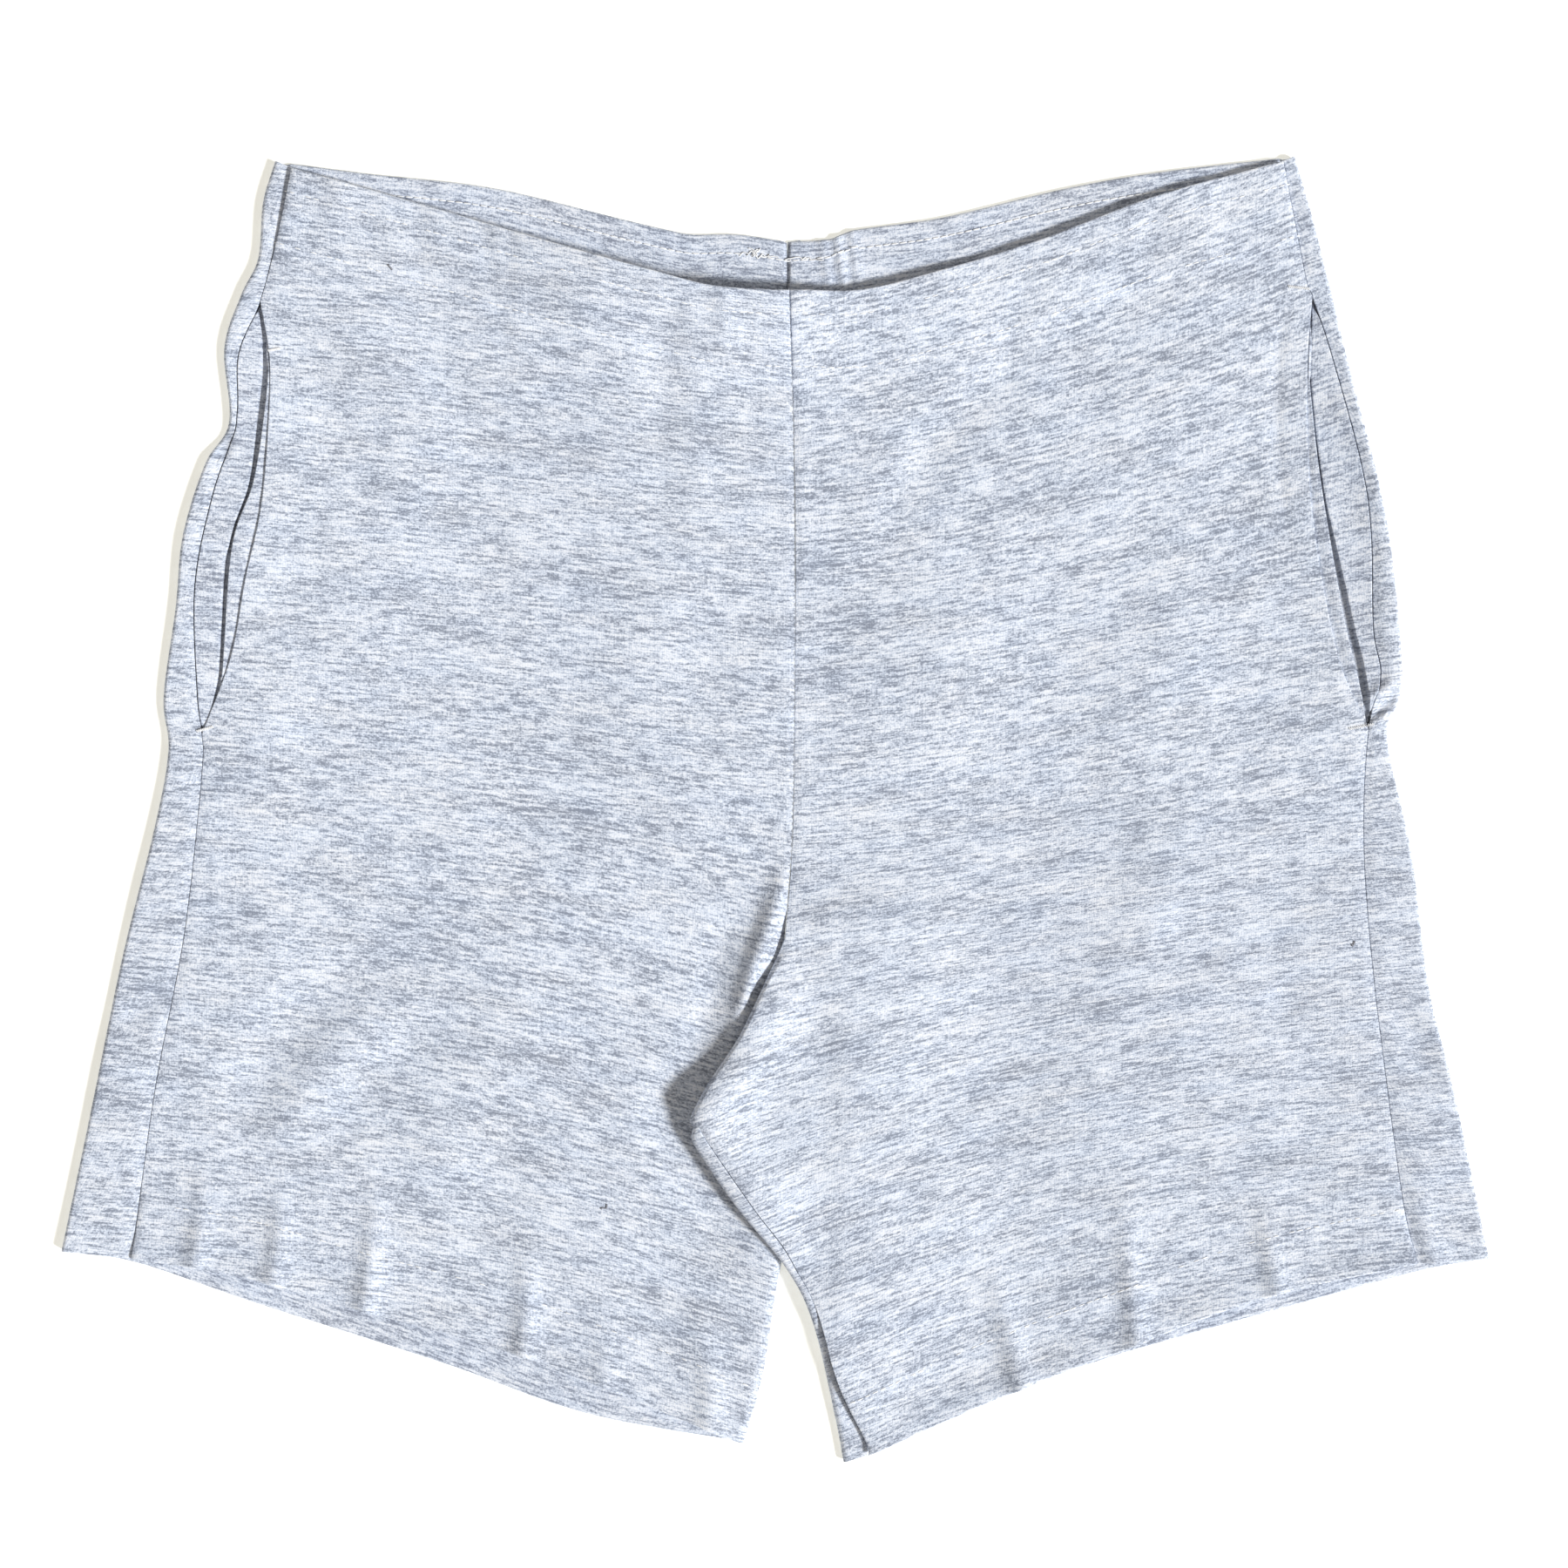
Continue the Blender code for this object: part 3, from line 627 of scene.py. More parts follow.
@dataclass
class Wall:
    """A closed wall of cloth with rounded rims, under or over a grid of points on its face.

    rim is how far in the rims are rounded, as a share of half the wall.
    """

    name: str
    face: Grid
    unrolled: Grid
    thickness: Grid
    outward: int
    offset: Pair = (0.0, 0.0)
    rim: float = 0.6

    def sheets(self) -> tuple[Grid, Grid]:
        """The outer and the inner sheet, which meet along the rims.

        Returns:
            The points of both sheets, rows by columns.
        """
        half = self.thickness / 2
        rounding = np.ones(self.face.shape[:2])
        for axis in (0, 1):
            for run in runs_along(self.face, axis):
                inside = np.clip(run / (half * self.rim), 0.0, 1.0)
                rounding = rounding * np.sqrt(1 - (1 - inside) ** 2)
        normal = self.outward * normals_of(self.face)
        middle = self.face - normal * half[..., None]
        puff = normal * (half * rounding)[..., None]
        return middle + puff, middle - puff

    def build(self, material: Material) -> Piece:
        """Make the wall's object.

        Args:
            material: The cloth that it is cut from.

        Returns:
            The object, with a map named cloth that lies along wales and courses.
        """
        rows, columns = self.face.shape[:2]
        outer, inner = self.sheets()
        number = np.arange(rows * columns).reshape(rows, columns)
        inner_number = number.copy()
        inside = np.arange((rows - 2) * (columns - 2)).reshape(rows - 2, columns - 2)
        inner_number[1:-1, 1:-1] = rows * columns + inside
        points = np.vstack([outer.reshape(-1, 3), inner[1:-1, 1:-1].reshape(-1, 3)])
        faces = []
        for sheet, facing in ((number, self.outward), (inner_number, -self.outward)):
            corners = [sheet[:-1, :-1], sheet[:-1, 1:], sheet[1:, 1:], sheet[1:, :-1]]
            quads = np.stack(corners, axis=-1).reshape(-1, 4)
            faces.append(quads if facing > 0 else quads[:, ::-1])
        faces = np.vstack(faces)
        mesh = bpy.data.meshes.new(self.name)
        mesh.from_pydata(points.tolist(), [], faces.tolist())
        mesh.shade_smooth()
        flat = self.unrolled + np.array(self.offset)
        place = np.vstack([flat.reshape(-1, 2), flat[1:-1, 1:-1].reshape(-1, 2)])
        layer = mesh.uv_layers.new(name="cloth")
        layer.uv.foreach_set("vector", place[faces.ravel()].astype(np.float32).ravel())
        mesh.materials.append(material)
        return linked(self.name, mesh)


# ---- edges that pieces share

@dataclass
class SideEdge:
    """The outer edges of one side: the fold, the seam, and the pocket mouth and facing."""

    hand: Hand
    fold: Knots
    seam: Knots
    mouth: Knots
    facing: Knots

    def __post_init__(self) -> None:
        """Turn the outlines into curves, with the mouth's place on the seam."""
        self.fold_curve = Curve(self.fold)
        self.seam_curve = Curve(self.seam)
        self.mouth_curve = Curve(self.mouth)
        self.facing_curve = Curve(self.facing)
        self.mouth_start = self.seam_curve.nearest(self.mouth[0])
        self.mouth_end = self.seam_curve.nearest(self.mouth[-1])

    def fold_at(self, rows: Grid) -> Grid:
        """Points on the side fold beside distances down the seam."""
        return self.fold_curve.part(rows / self.seam_curve.length)

    def seam_at(self, rows: Grid) -> Grid:
        """Points on the seam, kept as far from the fold as the turned cloth needs.

        Args:
            rows: Distances down the seam.

        Returns:
            The plan points.
        """
        seam, fold = self.seam_curve.at(rows), self.fold_at(rows)
        away = seam - fold
        reach = np.linalg.norm(away, axis=1, keepdims=True)
        return fold + away * np.maximum(reach, CLOTH.front_top / 2 + CLOTH.wall) / reach

    def down_mouth(self, rows: Grid) -> Grid:
        """Distances down the seam as shares of the pocket mouth, from 0 at its top to 1 at its foot."""
        return (rows - self.mouth_start) / (self.mouth_end - self.mouth_start)

    def front_edge(self, rows: Grid) -> Grid:
        """The front panel's side edge: the seam, with the pocket mouth cut out of it.

        Args:
            rows: Distances down the seam.

        Returns:
            The plan points.
        """
        edge = self.seam_at(rows)
        share = self.down_mouth(rows)
        in_mouth = (share > 0) & (share < 1)
        edge[in_mouth] = self.mouth_curve.part(share[in_mouth])
        return edge


@dataclass
class PanelRows:
    """Matching rows on a panel's side seam and on its inner edge, from the waist to the hem.

    Both edges have the same key rows: the waist, the casing's stitches, the pocket mouth's top and
    foot, the bend of the leg, the hem's stitches and the hem. key_run is about the least run of
    cloth between two of them.
    """

    side: SideEdge
    centre: Knots
    leg: tuple[Knots, ...]
    corner: Pair | None = None
    upper_share: float = 0.2
    bend_share: float = 3 / 8
    key_run: float = 0.04

    def __post_init__(self) -> None:
        """Match the key rows of both edges and fill in the rows between them."""
        seam_length = Curve(self.centre).length
        leg_curve = Curve(*self.leg)
        side_length = self.side.seam_curve.length
        upper = CLOTH.casing_depth + self.upper_share * (seam_length - CLOTH.casing_depth)
        leg_end = leg_curve.length - CLOTH.hem_depth
        side_end = side_length - CLOTH.hem_depth
        bend = leg_curve.nearest(self.corner) if self.corner else leg_end * self.bend_share
        side_bend = self.side.mouth_end + (side_end - self.side.mouth_end) * self.bend_share
        outer = np.array([0.0, CLOTH.casing_depth, self.side.mouth_start, self.side.mouth_end, side_bend,
                          side_end, side_length])
        inner = np.array([0.0, CLOTH.casing_depth, upper, seam_length, seam_length + bend,
                          seam_length + leg_end, seam_length + leg_curve.length])
        keys = [0.0]
        for number, run in enumerate(np.maximum(np.diff(outer), np.diff(inner))):
            count = int(np.ceil(run / CLOTH.spacing))
            keys.extend(number + np.arange(1, count + 1) / count)
        rim, last = CLOTH.doubled / 2, len(outer) - 1
        top = RIM_RINGS * rim / CLOTH.casing_depth
        bottom = last - RIM_RINGS[::-1] * rim / CLOTH.hem_depth
        clear = rim / self.key_run
        middle = [key for key in keys if top[-2] + clear < key < bottom[1] - clear]
        self.keys = np.concatenate([top, middle, bottom])
        self.outer = np.interp(self.keys, np.arange(len(outer)), outer)
        self.inner = np.interp(self.keys, np.arange(len(inner)), inner)
        self.curve = Curve(self.centre, *self.leg)
        self.below_crotch = self.inner - seam_length
        self.corner_start = bend - CLOTH.corner_lead

    def inner_edge(self) -> Grid:
        """Plan points down the inner edge."""
        return self.curve.at(self.inner)


LEFT_SIDE = SideEdge(Hand.LEFT, SIDE_FOLD_LEFT, SIDE_SEAM_LEFT, MOUTH_LEFT, FACING_LEFT)
RIGHT_SIDE = SideEdge(Hand.RIGHT, SIDE_FOLD_RIGHT, SIDE_SEAM_RIGHT, MOUTH_RIGHT, FACING_RIGHT)


class LegOverlap:
    """The right leg's rise on to the left leg below the crotch, and the inseam under its fold."""

    def __init__(self) -> None:
        """Keep the edge of the left leg, which the right one clears, and the right inseam."""
        self.left_edge = Curve(CENTRE_BACK, OVERLAP_EDGE)
        self.inseam = Curve(INSEAM_RIGHT)

    def lift(self, plan: Grid, run: float = CLOTH.lift_run) -> Grid:
        """How far the underside of the right leg is above the surface.

        Args:
            plan: Plan points.
            run: The distance over which the leg comes back down.

        Returns:
            The lift at each point.
        """
        x, y = plan[..., 0], plan[..., 1]
        past = x - self.left_edge.x_at(np.minimum(y, CLOTH.lift_full_y)) - CLOTH.lift_shelf
        below = smooth((CLOTH.lift_start_y - y) / (CLOTH.lift_start_y - CLOTH.lift_full_y))
        return CLOTH.lift * (1 - smooth(past / run)) * below

    def thickness(self, lift: Grid) -> Grid:
        """Thickness of the right leg, which is pressed thinner where it lies on the left one."""
        return CLOTH.front_top + (CLOTH.leg_over_leg - CLOTH.front_top) * lift / CLOTH.lift

    def at_inseam(self, rows: PanelRows) -> Grid:
        """How far each row is past the corner of the leg: 0 at the crotch fold, 1 at the inseam."""
        return smooth((rows.below_crotch - rows.corner_start) / CLOTH.corner_run)

    def inseam_run(self, fold: Grid) -> Grid:
        """How far the inseam lies inside the fold of the inner leg, row by row."""
        run = self.inseam.x_at(fold[:, 1]) - fold[:, 0]
        return np.maximum(run, CLOTH.leg_over_leg / 2 + CLOTH.inseam_clear)


# ---- panels

def raised(face: Grid, relief: Relief) -> Grid:
    """A grid with the relief added in proportion to its height above the surface.

    Args:
        face: Points in space, rows by columns.
        relief: What lifts and sinks the cloth.

    Returns:
        The raised points.
    """
    face = face.copy()
    share = smooth(face[..., 2] / CLOTH.front_top)
    face[..., 2] += relief.rise(face[..., :2]) * share
    return face


@dataclass
class Panel:
    """What a front and a back panel share: their outlines, their rows and how the cloth lies."""

    side: SideEdge
    rows: PanelRows
    waist: Knots
    hem: Knots
    relief: Relief
    courses: Courses
    wall: Wall = field(init=False)

    def laid_flat(self, inner: Grid, outer: Grid, columns: int, rims: tuple[bool, bool]) -> Grid:
        """The panel's plan between two side edges.

        Args:
            inner: Points down the inner edge.
            outer: Points down the outer edge.
            columns: The number of even steps on each row.
            rims: Whether the cloth ends at the inner and at the outer edge.

        Returns:
            The plan points, rows by columns.
        """
        length = np.linalg.norm(outer - inner, axis=1)
        rim = np.full(len(inner), CLOTH.wall / 2)
        shares = rim_places(length, rim, columns, *rims) / length[:, None]
        return patch(inner, outer, between(Curve(self.waist), inner[0], outer[0]),
                     between(Curve(self.hem), inner[-1], outer[-1]), shares)

    def build(self, material: Material) -> Piece:
        """Cut the panel and make its object.

        Args:
            material: The cloth that it is cut from.

        Returns:
            The object.
        """
        self.wall = self.cut()
        return self.wall.build(material)


@dataclass
class FrontPanel(Panel):
    """One front panel, from the centre seam to the side seam and the pocket mouth."""

    columns: int = 118
    casing_rise: float = 0.0007
    hem_rise: float = 0.0004
    hem_curl: float = 0.0014
    curl_run: float = 0.008
    step_run: float = 0.004
    gape: float = 0.0106
    gape_centre: float = -0.044
    gape_width: float = 0.072
    gape_depth: float = 0.032
    waist_rise: float = 0.0016
    lean: float = 0.16
    mouth_rise: float = 0.0012
    mouth_reach: float = 0.014
    seam_dip: float = 0.00035
    seam_width: float = 0.0018
    sewn_run: float = 0.010
    roll_run: float = 0.030
    roll_radius: float = 0.0018
    roll_tail: float = 0.0012
    roll_steps: int = 8

    @property
    def name(self) -> str:
        """The CAD node that the panel stands for."""
        return f"front_{self.side.hand.word}"

    def edges(self) -> tuple[Grid, Turn]:
        """The side edges of the panel's face.

        Returns:
            The outer edge, and the roll of the inner edge on the inside of the leg.
        """
        outer = self.side.front_edge(self.rows.outer)
        inner = self.rows.inner_edge()
        outer = outer + towards(outer, inner) * CLOTH.seam_gap / 2
        inner = inner + towards(inner, outer) * CLOTH.seam_gap / 2
        share = 0.5 * smooth(self.rows.below_crotch / self.roll_run)
        return outer, self.rolled(inner, outer, share)

    def rolled(self, inner: Grid, outer: Grid, share: Grid) -> Turn:
        """The small roll of the inner edge.

        Args:
            inner: The place of the inner edge, row by row.
            outer: The place of the outer edge.
            share: The part of a half turn that each row makes.

        Returns:
            The roll, which has no share where the centre seam is.
        """
        square = np.array([-self.side.hand.value, 0.0])
        leg = smooth(self.rows.below_crotch / self.roll_run)[:, None]
        heading = (1 - leg) * square + leg * towards(outer, inner)
        heading = heading / np.linalg.norm(heading, axis=1, keepdims=True)
        count = len(inner)
        return Turn(inner, heading, np.full(count, self.roll_radius), share, np.full(count, self.roll_tail),
                    self.roll_steps, tail_steps=1)

    def height(self, plan: Grid) -> Grid:
        """Height of the panel's face before its relief."""
        return np.full(plan.shape[:-1], CLOTH.front_top)

    def sewn_rows(self) -> Grid:
        """Rows whose inner edge is sewn to a neighbour."""
        return self.rows.below_crotch < self.sewn_run

    def cut(self) -> Wall:
        """Work out the panel's wall.

        Returns:
            The wall, from its edges, its height and its relief.
        """
        outer, rolled = self.edges()
        plan = self.laid_flat(rolled.start, outer, self.columns, (False, True))
        face = with_height(plan, self.height(plan))
        roll = with_height(rolled.plan(), face[:, :1, 2] - rolled.rise)
        face = np.concatenate([roll[:, ::-1], face], axis=1)
        unrolled = np.concatenate([rolled.unrolled()[:, ::-1], plan], axis=1)
        from_waist, to_hem = runs_along(face, 0)
        from_inner, to_outer = runs_along(face, 1)
        in_casing = 1 - smooth((from_waist - CLOTH.casing_depth) / self.step_run)
        in_hem = 1 - smooth((to_hem - CLOTH.hem_depth) / self.step_run)
        thickness = CLOTH.wall + (CLOTH.doubled - CLOTH.wall) * np.maximum(in_casing, in_hem)
        face[..., 2] += self.relief.rise(face[..., :2])
        face[..., 2] += self.casing_rise * in_casing + self.hem_rise * in_hem
        face[..., 2] += self.hem_curl * bump(to_hem, self.curl_run)
        gape = ((self.waist_rise + self.gape * bump(face[..., 0] - self.gape_centre, self.gape_width))
                * bump(from_waist, self.gape_depth))
        face[..., 2] += gape
        face[..., 1] -= self.lean * gape
        down_mouth = self.side.down_mouth(self.rows.outer)[:, None]
        arch = np.sin(np.pi * np.clip(down_mouth, 0.0, 1.0))
        face[..., 2] += self.mouth_rise * arch * bump(to_outer, self.mouth_reach)
        in_mouth = (down_mouth > 0) & (down_mouth < 1)
        face[..., 2] -= self.seam_dip * bump(from_inner, self.seam_width) * self.sewn_rows()[:, None]
        face[..., 2] -= self.seam_dip * bump(to_outer, self.seam_width) * ~in_mouth
        outward = 1 if self.side.hand is Hand.LEFT else -1
        return Wall(f"{self.name}_cloth", face, self.courses.straightened(unrolled), thickness, outward)

    def line_across(self, depth: float) -> Grid:
        """Points on the face at a depth below the waist edge, from the centre to the side."""
        from_waist, _ = runs_along(self.wall.face, 0)
        return line_at(self.wall.sheets()[0].swapaxes(0, 1), from_waist.T, depth)

    def line_above_hem(self, depth: float) -> Grid:
        """Points on the face at a depth above the hem edge, from the centre to the side."""
        _, to_hem = runs_along(self.wall.face, 0)
        return line_at(self.wall.sheets()[0].swapaxes(0, 1), -to_hem.T, -depth)

    def line_beside_centre(self, depth: float) -> Grid:
        """Points on the face at a distance from the centre seam, from the waist down to the crotch."""
        from_inner, _ = runs_along(self.wall.face, 1)
        above = self.rows.below_crotch < 0.0
        return line_at(self.wall.sheets()[0][above], from_inner[above], depth)


@dataclass
class FrontOverLeg(FrontPanel):
    """The right front panel, which folds over the left leg below the crotch."""

    overlap: LegOverlap = field(default_factory=LegOverlap)
    roll_radius: float = 0.0012
    roll_tail: float = 0.0010
    slope_run: float = 0.085

    def edges(self) -> tuple[Grid, Turn]:
        """The side edges of the panel's face.

        Returns:
            The outer edge, and the roll of the inner edge at the crotch fold or the inseam.
        """
        outer = self.side.front_edge(self.rows.outer)
        fold = self.rows.inner_edge()
        outer = outer + towards(outer, fold) * CLOTH.seam_gap / 2
        at_inseam = self.overlap.at_inseam(self.rows)
        inset = CLOTH.seam_gap / 2 + self.overlap.inseam_run(fold) * at_inseam
        inner = fold + towards(fold, outer) * inset[:, None]
        share = 0.5 * smooth(self.rows.below_crotch / CLOTH.turn_run) * (1 - at_inseam)
        return outer, self.rolled(inner, outer, share)

    def sewn_rows(self) -> Grid:
        """Rows of the centre seam and of the inseam."""
        past_corner = self.rows.below_crotch > self.rows.corner_start + CLOTH.corner_run / 2
        return super().sewn_rows() | past_corner

    def height(self, plan: Grid) -> Grid:
        """Height of the face, which comes down from the left leg more gently than the back does.

        Args:
            plan: Plan points.

        Returns:
            The height at each point.
        """
        lift = self.overlap.lift(plan)
        slope = self.overlap.lift(plan, self.slope_run)
        return np.maximum(lift, slope) + self.overlap.thickness(lift)


@dataclass
class BackPanel(Panel):
    """One back panel, flat underneath and turned up round the side fold to the side seam."""

    creases: Sequence[Crease]
    columns: int = 64
    arc_steps: int = 14
    tail_steps: int = 14
    squash: float = 0.67
    inset: float = 0.00155
    inset_run: float = 0.02
    fold_clear: float = 0.004
    seam_dip: float = 0.0005
    seam_width: float = 0.0024
    pattern_offset: Pair = (0.31, 0.17)

    @property
    def name(self) -> str:
        """The CAD node that the panel stands for."""
        return f"back_{self.side.hand.word}"

    def inner_turn(self, inner: Grid, outer: Grid) -> Turn | None:
        """The turn of the inner edge: none on the left leg, which meets its front at the fold."""
        return None

    def base(self, plan: Grid) -> Grid:
        """Height of the panel's underside above the surface."""
        return sum(crease.rise(plan) for crease in self.creases)

    def cut(self) -> Wall:
        """Work out the panel's wall.

        Returns:
            The wall: the flat part, the side turn, and any inner turn.
        """
        fold, seam = self.side.fold_at(self.rows.outer), self.side.seam_at(self.rows.outer)
        radius = np.full(len(fold), CLOTH.front_top / 2)
        tail = np.linalg.norm(seam - fold, axis=1) - self.squash * radius - CLOTH.seam_gap / 2
        side_turn = Turn(fold, towards(seam, fold), radius, np.ones(len(fold)), tail, self.arc_steps,
                         self.tail_steps, self.squash)
        inner = self.rows.inner_edge()
        inner[:, 0] += self.side.hand.value * CLOTH.gap / 2
        inner_turn = self.inner_turn(inner, side_turn.start)
        start = inner if inner_turn is None else inner_turn.start
        plan = self.laid_flat(start, side_turn.start, self.columns, (inner_turn is None, False))
        plan = self.clear_of_bands(plan)
        height = self.base(plan)
        parts = [with_height(plan, height), with_height(side_turn.plan(), height[:, -1:] + side_turn.rise)]
        across = [plan[..., 0], self.squared(side_turn)]
        if inner_turn is not None:
            parts.insert(0, with_height(inner_turn.plan(), height[:, :1] + inner_turn.rise)[:, ::-1])
            across.insert(0, self.squared(inner_turn)[:, ::-1])
        face = np.concatenate(parts, axis=1)
        unrolled = self.courses.straightened(face[..., :2], np.concatenate(across, axis=1))
        face = raised(face, self.relief)
        _, to_seam = runs_along(face, 1)
        face[..., 2] -= self.seam_dip * bump(to_seam, self.seam_width)
        outward = -1 if self.side.hand is Hand.LEFT else 1
        thickness = np.full(face.shape[:2], CLOTH.wall)
        return Wall(f"{self.name}_cloth", face, unrolled, thickness, outward, self.pattern_offset)

    @staticmethod
    def squared(turn: Turn) -> Grid:
        """Places across the wales of the turned cloth, laid out square to the centre seam."""
        return turn.start[:, :1] + np.sign(turn.heading[:, :1]) * turn.run

    def clear_of_bands(self, plan: Grid) -> Grid:
        """Draw in the waist and hem edges, to leave room for the turned bands.

        Args:
            plan: Plan points, rows by columns.

        Returns:
            The points, moved along Y only.
        """
        from_waist, to_hem = runs_along(with_height(plan, 0.0), 0)
        _, to_fold = runs_along(with_height(plan, 0.0), 1)
        free = smooth((to_fold - self.fold_clear) / self.fold_clear)
        plan = plan.copy()
        plan[..., 1] -= self.inset * free * np.clip(1 - from_waist / self.inset_run, 0, 1)
        plan[..., 1] += self.inset * free * np.clip(1 - to_hem / self.inset_run, 0, 1)
        return plan


@dataclass
class BackOverLeg(BackPanel):
    """The right back panel, turned up along the inside leg too, and lifted over the left leg.

    Beside the crotch fold the edge is tucked under the front, where it doesn't show, and makes only
    tucked_share of its turn at tucked_size.
    """

    tuck: float = 0.0050
    tuck_run: float = 0.010
    tucked_share: float = 0.22
    tucked_size: float = 0.62
    close_run: float = 0.012
    least_tail: float = 0.0004
    inner_tail_steps: int = 5
    overlap: LegOverlap = field(default_factory=LegOverlap)

    def inner_turn(self, inner: Grid, outer: Grid) -> Turn | None:
        """The turn round the inside leg up to the inseam.

        Args:
            inner: The fold of the inner leg, row by row.
            outer: The start of the side turn.

        Returns:
            The turn.
        """
        below = self.rows.below_crotch
        radius = self.overlap.thickness(self.overlap.lift(inner)) / 2
        at_inseam = self.overlap.at_inseam(self.rows)
        closed = smooth((below - self.rows.corner_start) / self.close_run + 1)
        share = smooth(below / CLOTH.turn_run) * (self.tucked_share + (1 - self.tucked_share) * closed)
        run = self.overlap.inseam_run(inner)
        tail = (self.least_tail * (1 - at_inseam)
                + np.maximum(run - CLOTH.seam_gap - radius, self.least_tail) * at_inseam)
        radius = radius * (self.tucked_size + (1 - self.tucked_size) * at_inseam)
        heading = towards(outer, inner)
        tucked = self.tuck * smooth(below / self.tuck_run) * (1 - at_inseam)
        return Turn(inner - heading * tucked[:, None], heading, radius, share, tail,
                    tail_steps=self.inner_tail_steps)

    def base(self, plan: Grid) -> Grid:
        """Height of the underside, which clears the left leg."""
        return self.overlap.lift(plan) + super().base(plan)


# ---- bands turned to the inside

@dataclass
class TurnedBand:
    """A casing or hem of a back panel, turned to the inside round the panel's edge.

    leans are the angles in degrees, from +Y, that the band points out of the garment at its two
    ends. Its pleats are in the upper layer only, above pleat_height.
    """

    name: str
    edge: Knots
    depth: float
    ends: Pair
    leans: Pair
    pleats: Sequence[Crease] = ()
    pleat_height: float = 0.002
    spacing: float = 0.0016
    tail_steps: int = 18
    pattern_offset: Pair = (0.11, 0.43)
    wall: Wall = field(init=False)

    @property
    def radius(self) -> float:
        """The radius of the turn at the edge of the garment."""
        return (CLOTH.level + CLOTH.wall) / 2

    def build(self, material: Material) -> Piece:
        """Make the band's object, from under the edge, round it and into the garment.

        Args:
            material: The cloth that it is cut from.

        Returns:
            The object.
        """
        curve = Curve(self.edge)
        count = int((curve.length - sum(self.ends)) / self.spacing)
        along = np.linspace(self.ends[0], curve.length - self.ends[1], count + 1)
        lean = np.radians(np.linspace(*self.leans, count + 1))
        heading = np.stack([np.sin(lean), np.cos(lean)], axis=1)
        radius = np.full(len(along), self.radius)
        over = Turn(curve.at(along), heading, radius, np.ones(len(along)), self.depth - radius,
                    tail_steps=self.tail_steps)
        face = with_height(over.plan(), over.rise)
        for pleat in self.pleats:
            face[..., 2] += pleat.rise(face[..., :2]) * smooth(face[..., 2] / self.pleat_height)
        thickness = np.full(face.shape[:2], CLOTH.wall)
        outward = 1 if np.mean(normals_of(face)[:, -3, 2]) > 0 else -1
        flat = np.stack([np.broadcast_to(along[:, None], over.run.shape), over.run], axis=-1)
        self.wall = Wall(f"{self.name}_cloth", face, flat, thickness, outward, self.pattern_offset)
        return self.wall.build(material)

    def line_inside(self, depth: float) -> Grid:
        """Points on the band's upper face at a depth from the edge of the garment."""
        from_start, _ = runs_along(self.wall.face, 1)
        return line_at(self.wall.sheets()[0], from_start, np.pi * self.radius + depth)


# ---- pockets

